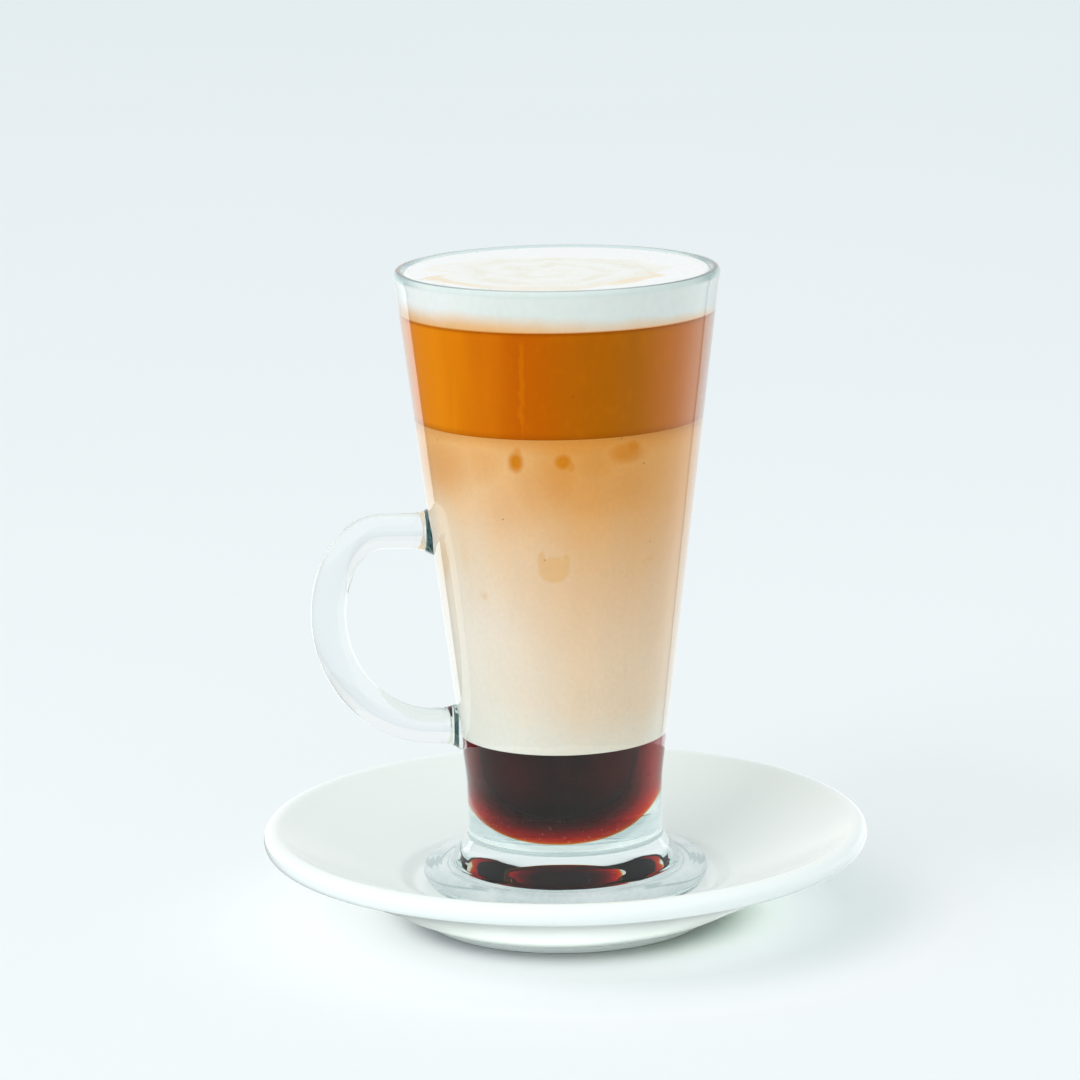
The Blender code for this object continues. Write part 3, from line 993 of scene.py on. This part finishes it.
def glass_profile(glass):
    """Outline of the glass: up the cavity, over the lip, down to the foot."""
    bowl_top = BOWL_BOTTOM + glass.bowl_depth
    lip_height = glass.rim_top - glass.lip_round
    low_lip = lip_height - 0.0020
    heights = bowl_heights(glass, BOWL_STEPS) + wall_heights(bowl_top, low_lip, 40)[1:]
    points = [(0.0, BOWL_BOTTOM)]
    points += [(cavity_wall(glass, height), height) for height in heights]
    lip_centre = (glass.rim_radius - glass.lip_round, lip_height)
    points += arc(lip_centre, glass.lip_round, 180.0, 0.0, 20)
    stem_top = lip_height - (glass.line_radius - glass.stem_radius) / glass.taper
    for step in range(19):
        height = blend(low_lip, stem_top + 0.003, step / 18)
        points.append((cone_wall(glass, height), height))
    stem = [points[-1], (glass.stem_radius + 0.00008, stem_top)]
    stem += [(glass.stem_radius, stem_top - 0.003), (glass.stem_radius, glass.stem_bottom + 0.0012)]
    points += through(stem, 6)[1:]
    crease = glass.stem_radius + 0.00012
    points += [(crease, glass.stem_bottom + 0.0002), (crease + 0.0001, glass.stem_bottom - 0.0001)]
    drop = glass.stem_bottom - glass.groove_top
    spread = glass.flare_radius - crease
    ring = [points[-1], (crease + 0.40 * spread, glass.stem_bottom - 0.366 * drop)]
    ring += [(crease + 0.80 * spread, glass.stem_bottom - 0.648 * drop)]
    ring += [(crease + 0.96 * spread, glass.stem_bottom - 0.817 * drop)]
    ring += [(glass.flare_radius + 0.0001, glass.groove_top + 0.0004)]
    ring += [(glass.flare_radius + 0.0007, glass.groove_top)]
    ring += [(glass.groove_radius, glass.groove_top)]
    ring += [(0.5 * (glass.groove_radius + glass.ring_radius), glass.ring_top - 0.0001)]
    ring.append((glass.ring_radius, glass.ring_top))
    points += through(ring, 6)[1:]
    foot_bottom = GLASS_LOW.z
    edge_centre = (glass.foot_radius - glass.foot_round, foot_bottom + glass.foot_round)
    points += arc(edge_centre, glass.foot_round, 62.0, -88.0, 18)
    points += [(edge_centre[0] - 0.0004, foot_bottom), (glass.punt_radius + 0.0006, foot_bottom)]
    for step in range(24):
        share = 1.0 - step / 24.0
        height = foot_bottom + glass.punt_rise * (1.0 - share**2)
        points.append((glass.punt_radius * share, height))
    points.append((0.0, foot_bottom + glass.punt_rise))
    return points


def handle_path(glass):
    """Centre line of the handle, from the upper root round to the lower root."""
    path = []
    arm_steps = 13
    bend_steps = 36
    for step in range(arm_steps):
        out = blend(glass.upper_root, glass.upper_bend, step / arm_steps)
        path.append((-out, glass.upper_arm))
    for step in range(bend_steps + 1):
        turn = 0.5 * math.pi * step / bend_steps
        out = glass.upper_bend + (glass.reach - glass.upper_bend) * math.sin(turn)
        path.append((-out, blend(glass.widest, glass.upper_arm, math.cos(turn))))
    for step in range(1, bend_steps + 1):
        turn = 0.5 * math.pi * step / bend_steps
        out = glass.lower_bend + (glass.reach - glass.lower_bend) * math.cos(turn)
        path.append((-out, blend(glass.widest, glass.lower_arm, math.sin(turn))))
    for step in range(1, 10):
        out = blend(glass.lower_bend, glass.lower_root, step / 9)
        path.append((-out, glass.lower_arm))
    return np.array(path)


def handle_mesh(glass):
    """Closed rod along the handle's centre line, flared at its two roots."""
    path = handle_path(glass)
    ahead = np.gradient(path, axis=0)
    ahead /= np.linalg.norm(ahead, axis=1)[:, None]
    work = bmesh.new()
    rings = []
    for (across, height), (along_x, along_z) in zip(path, ahead):
        clear = max(0.0, -across - cone_wall(glass, height))
        radius = glass.rod + glass.flare * math.exp(-clear / glass.flare_length)
        ring = []
        for side in range(HANDLE_SIDES):
            turn = 2.0 * math.pi * side / HANDLE_SIDES
            out = radius * math.cos(turn)
            place = (across - along_z * out, radius * math.sin(turn), height + along_x * out)
            ring.append(work.verts.new(place))
        rings.append(ring)
    for near, far in zip(rings, rings[1:]):
        for side in range(HANDLE_SIDES):
            after = (side + 1) % HANDLE_SIDES
            work.faces.new((near[side], near[after], far[after], far[side]))
    work.faces.new(rings[0])
    work.faces.new(rings[-1])
    bmesh.ops.recalc_face_normals(work, faces=work.faces)
    mesh = bpy.data.meshes.new("handle_rod")
    work.to_mesh(mesh)
    work.free()
    return mesh


def fused(body, tool):
    """Mesh of two closed objects joined as one solid."""
    union = body.modifiers.new("fuse", "BOOLEAN")
    union.operation = "UNION"
    union.solver = "EXACT"
    union.object = tool
    graph = bpy.context.evaluated_depsgraph_get()
    joined = bpy.data.meshes.new_from_object(body.evaluated_get(graph))
    bpy.data.objects.remove(body, do_unlink=True)
    bpy.data.objects.remove(tool, do_unlink=True)
    return joined


def build_glass():
    """Glass body and handle as one clear piece, its wetted wall apart."""
    glass = glass_settings()
    drink = drink_settings()

    def shift(radius, height):
        inside = radius < cone_wall(glass, height) - 0.5 * glass.wall
        return cavity_shift(glass, height) if inside and height >= BOWL_BOTTOM else 0.0

    body = turned_mesh("glass_body", glass_profile(glass), GLASS_SIDES, shift)
    mesh = fused(add_piece("glass_body", body), add_piece("glass_rod", handle_mesh(glass)))
    mesh.materials.clear()
    finishes = (clear_glass_finish(glass), wetted_glass_finish(glass), standing_ring_finish())
    made = add_piece("clear_glass_with_handle", mesh, *finishes)
    wet_top = drink.foam_edge - FOAM_CREASE
    slack = 0.0001
    for face in mesh.polygons:
        place = face.center
        radius = math.hypot(place.x - cavity_shift(glass, place.z), place.y)
        inner = radius < cone_wall(glass, place.z) - 0.5 * glass.wall
        wet = inner and BOWL_BOTTOM - slack < place.z < wet_top and face.normal.z > -0.5
        under = place.z < GLASS_LOW.z + slack and face.normal.z < -0.9
        stands = under and radius > glass.punt_radius + 3.0 * slack
        face.material_index = 1 if wet else 2 if stands else 0
    mesh.set_sharp_from_angle(angle=math.radians(38.0))
    settle(made, "glass", "clear_glass")


def leaning(glass):
    """Sideways shift of what fills the cavity, for turned_mesh."""
    return lambda radius, height: cavity_shift(glass, height)


def wall_points(glass, low, high, steps, offset):
    """Points down the cavity wall, moved outwards by an offset."""
    heights = reversed(wall_heights(low, high, steps))
    return [(cavity_wall(glass, height) + offset, height) for height in heights]


def bowl_points(glass, steps, offset):
    """Points down the rounded bottom, moved out of the cavity by an offset."""
    points = []
    for height in reversed(bowl_heights(glass, steps)[:-1]):
        wall = Vector((cavity_wall(glass, height), height))
        ahead = Vector((cavity_wall(glass, height + 1e-5), height + 1e-5))
        along = (ahead - wall).normalized()
        points.append((wall.x + along.y * offset, wall.y - along.x * offset))
    return points


def build_syrup():
    """Clear syrup round a dark heart, right into the glass wall."""
    glass = glass_settings()
    drink = drink_settings()
    bowl_top = BOWL_BOTTOM + glass.bowl_depth
    outline = [(0.0, drink.syrup_top)]
    outline += wall_points(glass, bowl_top, drink.syrup_top, 12, WALL_REACH)
    outline += bowl_points(glass, BOWL_STEPS, WALL_REACH)
    outline.append((0.0, BOWL_BOTTOM - WALL_REACH))
    mesh = turned_mesh("clear_syrup", outline, DRINK_SIDES, leaning(glass))
    skin = add_piece("syrup_clear", mesh, syrup_finish(glass, drink))
    settle(skin, "syrup_layer", "syrup")
    core_top = drink.syrup_top - 0.0001
    core_low = BOWL_BOTTOM + 0.8 * drink.core_depth
    outline = [(0.0, core_top)]
    core_radius = cavity_wall(glass, core_top) - drink.core_depth
    for step in range(25):
        turn = 0.5 * math.pi * step / 24
        drop = (core_top - core_low) * math.sin(turn) ** 0.9
        outline.append((core_radius * math.cos(turn) ** 0.7, core_top - drop))
    outline[-1] = (0.0, core_low)
    mesh = turned_mesh("syrup_core", outline, DRINK_SIDES, leaning(glass))
    core = add_piece("syrup_dark_core", mesh, syrup_core_finish())
    settle(core, None, "syrup")


def layer_mesh(name, low, high, steps, shift=None):
    """Closed mesh of a layer that fills the cavity between two levels."""
    wall = wall_points(glass_settings(), low, high, steps, WALL_REACH)
    return turned_mesh(name, [(0.0, high), *wall, (0.0, low)], DRINK_SIDES, shift)


def build_milk():
    """Milk from the syrup up to the coffee."""
    drink = drink_settings()
    shift = leaning(glass_settings())
    mesh = layer_mesh("milk", drink.syrup_top, drink.milk_top, 40, shift)
    settle(add_piece("milk_body", mesh, milk_finish(drink)), "milk_layer", "milk")


def build_coffee():
    """Coffee from the milk up to the foam."""
    drink = drink_settings()
    mesh = layer_mesh("coffee", drink.milk_top, drink.coffee_top, 16)
    settle(add_piece("coffee_body", mesh, coffee_finish(drink)), "coffee_layer", "coffee")


# How much the swirl's ripples turn in each metre outwards, in relief and in colour.
RELIEF_WINDING = 1150.0
COLOUR_WINDING = 610.0


def foam_relief(drink, across, along):
    """Height of the foam's fine relief at a place on its top."""
    right = across - drink.swirl_x
    ahead = along - drink.swirl_y
    reach = math.hypot(right, ahead)
    turn = math.atan2(ahead, right)
    spot = Vector((across * 90.0, along * 90.0, 0.3))
    wander = noise.noise(spot) * 0.003
    ripple = math.sin((reach + wander) * RELIEF_WINDING + turn)
    inside = 1.0 - ease(drink.swirl_radius * 0.9, drink.swirl_radius * 1.05, reach)
    fine = noise.noise(Vector((across * 900.0, along * 900.0, 1.7)))
    rise = 0.00005
    return rise * ripple * inside + rise * fine + 2.0 * rise * noise.noise(spot * 0.7)


def build_foam():
    """Foam from the coffee up to just under the lip, with its fine relief."""
    glass = glass_settings()
    drink = drink_settings()
    edge = cavity_wall(glass, drink.foam_edge - 0.0010) + WALL_REACH
    crown = FOAM_CROWN - drink.foam_edge
    outline = [(0.0, FOAM_CROWN)]
    rings = 90
    for step in range(1, rings):
        share = step / rings
        lift = crown * (1.0 - share**2)
        outline.append(((edge - 0.0003) * share, drink.foam_edge + lift))
    corner = 0.0005
    outline += arc((edge - corner, drink.foam_edge - corner), corner, 80.0, 0.0, 5)
    crease = drink.foam_edge - FOAM_CREASE
    outline += wall_points(glass, drink.coffee_top, crease, 8, WALL_REACH)
    outline.append((0.0, drink.coffee_top))
    mesh = turned_mesh("foam", outline, DRINK_SIDES)
    for vert in mesh.vertices:
        if vert.co.z > drink.foam_edge - 0.0001:
            fade = 1.0 - ease(edge - 0.003, edge - 0.0006, math.hypot(vert.co.x, vert.co.y))
            vert.co.z += fade * foam_relief(drink, vert.co.x, vert.co.y)
    settle(add_piece("foam_cap", mesh, foam_finish(drink)), "foam_layer", "foam")


# Radius and height of the saucer's underside, from the lip in to the foot ring.
UNDERSIDE = ((0.068, 0.0166), (0.0595, 0.0127), (0.050, 0.0080), (0.043, 0.0042))


def saucer_profile(saucer):
    """Outline of the saucer: out over the well and dish, round the lip, back under."""
    floor = GLASS_LOW.z - TOUCH_GAP
    step_radius = saucer.well_radius + saucer.well_step_width
    step_top = floor + saucer.well_step
    lip_centre = (saucer.radius - saucer.lip_round, saucer.lip_top - saucer.lip_round)
    rise = [(saucer.well_radius - 0.002, floor), (saucer.well_radius, floor + 0.0001)]
    rise.append((saucer.well_radius + 0.5 * saucer.well_step_width, floor + 0.5 * saucer.well_step))
    rise.append((step_radius, step_top))
    dish_end = (lip_centre[0] - 0.0016, saucer.lip_top - 0.00055)
    for step in range(1, 9):
        share = step / 9.0
        radius = blend(step_radius, dish_end[0], share)
        height = blend(step_top, dish_end[1], share)
        rise.append((radius, height - 4.0 * saucer.dish_sag * share * (1.0 - share)))
    lip = arc(lip_centre, saucer.lip_round, 118.0, -80.0, 28)
    points = [(0.0, floor), (0.02, floor)] + through(rise + [lip[0]], 8) + lip[1:]
    under = [lip[-1], *UNDERSIDE]
    under += [(saucer.ring_outer + 0.0024, saucer.ring_height + 0.0005)]
    under += [(saucer.ring_outer + 0.0003, saucer.ring_height)]
    points += through(under, 8)[1:]
    foot = [(saucer.ring_outer, 0.00035), (saucer.ring_outer - 0.0002, 0.0001)]
    foot += [(saucer.ring_outer - 0.0005, 0.0), (saucer.ring_inner + 0.0005, 0.0)]
    foot += [(saucer.ring_inner, 0.0004), (saucer.ring_inner - 0.001, saucer.under_centre)]
    return points + foot + [(0.0, saucer.under_centre)]


def build_saucer():
    """Glazed saucer."""
    saucer = bpy.context.scene.coffee_saucer
    mesh = turned_mesh("saucer", saucer_profile(saucer), SAUCER_SIDES)
    made = add_piece("glazed_saucer", mesh, glaze_finish(saucer))
    mesh.set_sharp_from_angle(angle=math.radians(50.0))
    settle(made, "saucer", "saucer_glaze")


def bubble_finish(name, shade, gleam):
    """Thin skin of a small bubble."""
    made, tree, shader = new_material(name)
    cloud = drift(object_place(tree)[0], 900.0, 1.0, 1.0, 0.0)
    pale = blend_colour(shade, WHITE, 0.35)
    feed(shader.inputs["Base Color"], ramp(cloud, [(0.35, shade), (0.65, pale)]))
    set_inputs(shader, Roughness=gleam)
    return made


def scatter_group():
    """Geometry Nodes that scatter small bubbles over a surface."""
    name = "scattered_bubbles"
    if name in bpy.data.node_groups:
        return bpy.data.node_groups[name]
    inputs = [
        ("Surface", "NodeSocketGeometry", None),
        ("Bubbles per square metre", "NodeSocketFloat", 1.0e5),
        ("Smallest radius", "NodeSocketFloat", 0.00008),
        ("Largest radius", "NodeSocketFloat", 0.0002),
        ("Seed", "NodeSocketInt", 1),
        ("Finish", "NodeSocketMaterial", None),
    ]
    outputs = [("Bubbles", "NodeSocketGeometry")]
    group, entry, leave = group_with(name, inputs, outputs, "GeometryNodeTree")
    spread = add_node(group, "GeometryNodeDistributePointsOnFaces", distribute_method="RANDOM")
    feed(spread.inputs["Mesh"], entry.outputs["Surface"])
    feed(spread.inputs["Density"], entry.outputs["Bubbles per square metre"])
    feed(spread.inputs["Seed"], entry.outputs["Seed"])
    size = add_node(group, "FunctionNodeRandomValue", data_type="FLOAT")
    feed(size.inputs[2], entry.outputs["Smallest radius"])
    feed(size.inputs[3], entry.outputs["Largest radius"])
    feed(size.inputs["Seed"], entry.outputs["Seed"])
    ball = add_node(group, "GeometryNodeMeshUVSphere")
    set_inputs(ball, Segments=8, Rings=6, Radius=1.0)
    place = add_node(group, "GeometryNodeInstanceOnPoints")
    feed(place.inputs["Points"], spread.outputs["Points"])
    feed(place.inputs["Instance"], ball.outputs["Mesh"])
    feed(place.inputs["Scale"], size.outputs[1])
    real = add_node(group, "GeometryNodeRealizeInstances")
    feed(real.inputs[0], place.outputs[0])
    smooth = add_node(group, "GeometryNodeSetShadeSmooth")
    feed(smooth.inputs[0], real.outputs[0])
    finish = add_node(group, "GeometryNodeSetMaterial")
    feed(finish.inputs["Geometry"], smooth.outputs[0])
    feed(finish.inputs["Material"], entry.outputs["Finish"])
    feed(leave.inputs[0], finish.outputs[0])
    return group


def scatter(name, surface, finish, density, radii, seed):
    """Piece made of bubbles scattered over a surface, as one plain mesh."""
    host = add_object(name + "_host", surface)
    group = scatter_group()
    sown = host.modifiers.new("sown", "NODES")
    sown.node_group = group
    values = {
        "Bubbles per square metre": density,
        "Smallest radius": radii[0],
        "Largest radius": radii[1],
        "Seed": seed,
        "Finish": finish,
    }
    for socket in group.interface.items_tree:
        if socket.in_out == "INPUT" and socket.name in values:
            sown[socket.identifier] = values[socket.name]
    graph = bpy.context.evaluated_depsgraph_get()
    mesh = bpy.data.meshes.new_from_object(host.evaluated_get(graph))
    bpy.data.objects.remove(host, do_unlink=True)
    mesh.name = name
    return add_object(name, mesh)


def open_turned(name, outline, sides, shift=0.0):
    """Open surface turned about Z from an outline of radius and height."""
    places = []
    faces = []
    for radius, height in outline:
        for side in range(sides):
            turn = 2.0 * math.pi * side / sides
            places.append((shift + radius * math.cos(turn), radius * math.sin(turn), height))
    for ring in range(len(outline) - 1):
        for side in range(sides):
            near = ring * sides + side
            far = ring * sides + (side + 1) % sides
            faces.append((near, far, far + sides, near + sides))
    mesh = bpy.data.meshes.new(name)
    mesh.from_pydata(places, [], faces)
    return mesh


def build_bubbles():
    """Froth along the foam's edge and top, and tiny bubbles low in the syrup."""
    glass = glass_settings()
    drink = drink_settings()
    froth = bubble_finish("froth_bubble", linear(214, 214, 200), 0.35)
    pale = bubble_finish("syrup_bubble", linear(226, 196, 172), 0.30)
    edge = cavity_wall(glass, drink.foam_edge - 0.0010)
    inner = (edge - 0.0016, drink.foam_edge)
    rim = [inner, (edge - 0.0003, drink.foam_edge - 0.0002)]
    top = [(0.0015, FOAM_CROWN), (0.6 * edge, FOAM_CROWN - 0.00012), inner]
    low_bowl = bowl_points(glass, BOWL_STEPS, 0.0)[6:]
    bowl = [(radius - 0.00012, height) for radius, height in low_bowl]
    rows = (
        ("froth_edge_bubbles", rim, 0.0, froth, drink.froth_edge, (0.00007, 0.00024), 3, "foam"),
        ("froth_top_bubbles", top, 0.0, froth, drink.froth_top, (0.00005, 0.00013), 8, "foam"),
        ("syrup_bubbles", bowl, glass.bowl_shift, pale, drink.syrup_bubbles, (0.00005, 0.00013), 5,
         "syrup"),
    )
    for name, outline, shift, finish, density, radii, seed, slot_name in rows:
        bed = open_turned(name + "_bed", outline, BUBBLE_SIDES, shift)
        settle(scatter(name, bed, finish, density, radii, seed), None, slot_name)


# ---------------------------------------------------------------- stage


def build_camera(stage):
    """Camera a little above the rim, looking slightly down."""
    lens = bpy.data.cameras.new("view")
    lens.lens = stage.lens
    lens.sensor_width = 36.0
    lens.clip_start = 0.05
    lens.clip_end = 50.0
    camera = add_object("view", lens)
    sideways = math.sin(stage.yaw)
    forwards = math.cos(stage.yaw)
    level = math.cos(stage.pitch)
    ahead = Vector((sideways * level, forwards * level, -math.sin(stage.pitch)))
    right = Vector((forwards, -sideways, 0.0))
    up = right.cross(ahead)
    leaned_right = right * math.cos(stage.roll) + up * math.sin(stage.roll)
    leaned_up = up * math.cos(stage.roll) - right * math.sin(stage.roll)
    turn = Matrix((leaned_right, leaned_up, -ahead)).transposed()
    place = Matrix.Translation(Vector((0.0, -stage.distance, stage.height)))
    camera.matrix_world = place @ turn.to_4x4()
    bpy.context.scene.camera = camera


# Light of the mirrored studio by direction, in degrees from straight behind towards the right.
CARDS = (
    (-180, 0.01), (-100, 0.02), (-60, 0.06), (-46.5, 0.16), (-45, 1.12), (-32, 1.02),
    (-14, 0.70), (0, 0.60), (14, 0.66), (32, 0.95), (44, 1.0), (45.7, 0.40), (47.0, 0.40),
    (49, 0.80), (62, 0.82), (90, 0.42), (116, 0.12), (145, 0.02),
)
# Colour of the saucer's soft shadow, and share of the floor's glow, outwards from the drink.
SHADOW = (
    (0.30, (0.85, 0.97, 0.87)), (0.36, (0.90, 0.95, 0.90)), (0.45, (0.84, 0.86, 0.86)),
    (0.55, (0.80, 0.81, 0.80)), (0.62, (0.85, 0.85, 0.85)), (0.70, (0.93, 0.91, 0.90)),
    (0.80, (1.0, 0.97, 0.96)), (0.95, WHITE),
)
GLOW = ((0.34, 0.0), (0.40, 0.2), (0.47, 0.45), (0.58, 0.58), (0.68, 0.75), (0.84, 1.0))


def greys(rows):
    """Stops of a colour ramp that gives plain numbers."""
    return [(place, (light,) * 3) for place, light in rows]


def cards_group(stage):
    """Brightness of the studio that polished glass mirrors, by compass direction."""
    name = "mirrored_cards"
    if name in bpy.data.node_groups:
        return bpy.data.node_groups[name]
    inputs = [("Vector", "NodeSocketVector", None)]
    group, entry, leave = group_with(name, inputs, [("Light", "NodeSocketFloat")])
    across, along, _ = split(entry.outputs["Vector"])
    turn = across.maths("ARCTAN2", along).remap(-math.pi, math.pi, smooth=False)
    stops = [((turned + 180.0) / 360.0, light) for turned, light in CARDS]
    feed(leave.inputs[0], Signal(ramp(turn, greys(stops))) * stage.card_strength)
    return group


def build_floor(stage):
    """Pale floor that runs far back."""
    half = stage.floor_half
    mesh = bpy.data.meshes.new("floor")
    corners = [(-half, -half, 0.0), (half, -half, 0.0), (half, half, 0.0), (-half, half, 0.0)]
    mesh.from_pydata(corners, [], [(0, 1, 2, 3)])
    made, tree, shader = new_material("pale_floor")
    place, across, along, _ = object_place(tree)
    cloud = drift(place, 1.3, 1.0, 2.0, 0.2)
    # Painted light: the floor is a little brighter towards the front.
    near = along.remap(0.9, -0.1, 1.0, 1.05)
    tone = near * cloud.remap(0.3, 0.7, 0.985, 1.01, smooth=False)
    shadow = ramp(diagonal(across - 0.012, along) * 9.5, SHADOW)
    plain = mix_colour(tree, 1.0, stage.floor, tone, "MULTIPLY")
    paint(shader, mix_colour(tree, 1.0, plain, shadow, "MULTIPLY"), 0.9, 0.0)
    path = add_node(tree, "ShaderNodeLightPath")
    apart = diagonal(across - 0.003, along)
    open_floor = ramp(apart * 10.0, greys(GLOW))
    glow = mix_colour(tree, 1.0, stage.glow, open_floor, "MULTIPLY")
    under = apart.remap(0.074, 0.06) * apart.remap(0.04, 0.052) * path.outputs["Is Diffuse Ray"]
    lift = mix_colour(tree, under, BLACK, stage.lift)
    feed(shader.inputs["Emission Color"], mix_colour(tree, 1.0, glow, lift, "ADD"))
    set_inputs(shader, Emission_Strength=1.0)
    mirrored = add_node(tree, "ShaderNodeEmission")
    feed(mirrored.inputs["Color"], stage.pale)
    feed(mirrored.inputs["Strength"], placed_group(cards_group(stage), place))
    seen = Signal(path.outputs["Is Reflection Ray"]) * path.outputs["Is Glossy Ray"]
    choose = add_node(tree, "ShaderNodeMixShader")
    for socket, value in zip(choose.inputs, (seen, shader.outputs[0], mirrored.outputs[0])):
        feed(socket, value)
    feed(tree.nodes["Material Output"].inputs["Surface"], choose.outputs[0])
    mesh.materials.append(made)
    add_object("floor", mesh)


def build_world(stage):
    """Soft surroundings for light, and a room with bright and dark sides for glass."""
    world = bpy.data.worlds.new("soft_room")
    bpy.context.scene.world = world
    world.use_nodes = True
    tree = world.node_tree
    shader = tree.nodes["Background"]
    aim = add_node(tree, "ShaderNodeTexCoord").outputs["Generated"]
    across, along, up = split(aim)
    turn = across.maths("ARCTAN2", along)
    ceiling = up.remap(0.1, 0.28)
    right = turn.remap(math.radians(135.0), math.radians(115.0))
    left = turn.remap(math.radians(-72.0), math.radians(-56.0))
    open_side = ceiling.at_least(right * left)
    wall = blend_colour(BLACK, stage.pale, 0.93)
    through = mix_colour(tree, open_side, stage.shade, wall)
    mirrored = mix_colour(tree, ceiling, placed_group(cards_group(stage), aim), stage.pale)
    path = add_node(tree, "ShaderNodeLightPath")
    sharp = mix_colour(tree, path.outputs["Is Reflection Ray"], through, mirrored)
    ahead = across * -0.25 - along
    low = up.remap(0.02, 0.2) * up.remap(0.85, 0.6)
    boost = ahead.remap(0.15, 0.6) * low * stage.front_strength
    soft = mix_colour(tree, 1.0, stage.pale, boost + stage.sky_strength, "MULTIPLY")
    soft = mix_colour(tree, path.outputs["Is Camera Ray"], soft, stage.pale)
    feed(shader.inputs["Color"], mix_colour(tree, path.outputs["Is Glossy Ray"], soft, sharp))
    set_inputs(shader, Strength=1.0)


def build_key(stage):
    """Large soft light in front on the left."""
    light = bpy.data.lights.new("key", "AREA")
    light.shape = "RECTANGLE"
    light.size = 2.2
    light.size_y = 1.5
    light.energy = stage.key_power
    light.color = (1.0, 0.99, 0.97)
    key = add_object("key", light)
    level = math.cos(stage.key_height) * stage.key_distance
    rise = math.sin(stage.key_height) * stage.key_distance
    key.location = (-level * math.sin(stage.key_side), -level * math.cos(stage.key_side), rise)
    aim = Vector((0.0, 0.0, 0.08)) - key.location
    key.rotation_euler = aim.to_track_quat("-Z", "Y").to_euler()
    key.visible_glossy = False
    key.visible_transmission = False


def build_stage():
    """Camera, floor, surroundings and light."""
    stage = bpy.context.scene.coffee_stage
    scene = bpy.context.scene
    scene.view_settings.view_transform = "Standard"
    scene.view_settings.look = "None"
    build_camera(stage)
    build_floor(stage)
    build_world(stage)
    build_key(stage)


# ---------------------------------------------------------------- operators


class COFFEE_OT_saucer(bpy.types.Operator):
    """Build the glazed saucer"""

    bl_idname = "coffee.saucer"
    bl_label = "Saucer"

    def execute(self, context):
        build_saucer()
        return {"FINISHED"}


class COFFEE_OT_glass(bpy.types.Operator):
    """Build the glass with its handle"""

    bl_idname = "coffee.glass"
    bl_label = "Glass"

    def execute(self, context):
        build_glass()
        return {"FINISHED"}


class COFFEE_OT_syrup(bpy.types.Operator):
    """Build the dark syrup"""

    bl_idname = "coffee.syrup"
    bl_label = "Syrup"

    def execute(self, context):
        build_syrup()
        return {"FINISHED"}


class COFFEE_OT_milk(bpy.types.Operator):
    """Build the milk"""

    bl_idname = "coffee.milk"
    bl_label = "Milk"

    def execute(self, context):
        build_milk()
        return {"FINISHED"}


class COFFEE_OT_coffee(bpy.types.Operator):
    """Build the amber coffee"""

    bl_idname = "coffee.coffee"
    bl_label = "Coffee"

    def execute(self, context):
        build_coffee()
        return {"FINISHED"}


class COFFEE_OT_foam(bpy.types.Operator):
    """Build the foam"""

    bl_idname = "coffee.foam"
    bl_label = "Foam"

    def execute(self, context):
        build_foam()
        return {"FINISHED"}


class COFFEE_OT_bubbles(bpy.types.Operator):
    """Scatter the small bubbles over the foam and the syrup"""

    bl_idname = "coffee.bubbles"
    bl_label = "Bubbles"

    def execute(self, context):
        build_bubbles()
        return {"FINISHED"}


class COFFEE_OT_stage(bpy.types.Operator):
    """Build the camera, the floor and the light"""

    bl_idname = "coffee.stage"
    bl_label = "Stage"

    def execute(self, context):
        build_stage()
        return {"FINISHED"}


class COFFEE_PT_panel(bpy.types.Panel):
    """Buttons that build the drink piece by piece"""

    bl_idname = "COFFEE_PT_panel"
    bl_label = "Layered coffee"
    bl_space_type = "VIEW_3D"
    bl_region_type = "UI"
    bl_category = "Coffee"

    def draw(self, context):
        for operator in OPERATORS:
            self.layout.operator(operator.bl_idname)


SETTINGS = {
    "coffee_glass": GlassSettings,
    "coffee_drink": DrinkSettings,
    "coffee_saucer": SaucerSettings,
    "coffee_stage": StageSettings,
}
OPERATORS = (
    COFFEE_OT_saucer,
    COFFEE_OT_glass,
    COFFEE_OT_syrup,
    COFFEE_OT_milk,
    COFFEE_OT_coffee,
    COFFEE_OT_foam,
    COFFEE_OT_bubbles,
    COFFEE_OT_stage,
)


def register():
    """Register the settings, operators and panel."""
    for name, settings in SETTINGS.items():
        bpy.utils.register_class(settings)
        setattr(bpy.types.Scene, name, PointerProperty(type=settings))
    for operator in OPERATORS:
        bpy.utils.register_class(operator)
    bpy.utils.register_class(COFFEE_PT_panel)


def unregister():
    """Remove the panel, operators and settings."""
    bpy.utils.unregister_class(COFFEE_PT_panel)
    for operator in reversed(OPERATORS):
        bpy.utils.unregister_class(operator)
    for name, settings in SETTINGS.items():
        delattr(bpy.types.Scene, name)
        bpy.utils.unregister_class(settings)


def main():
    """Build every piece and the stage."""
    register()
    bpy.ops.coffee.saucer()
    bpy.ops.coffee.glass()
    bpy.ops.coffee.syrup()
    bpy.ops.coffee.milk()
    bpy.ops.coffee.coffee()
    bpy.ops.coffee.foam()
    bpy.ops.coffee.bubbles()
    bpy.ops.coffee.stage()


if __name__ == "__main__":
    main()
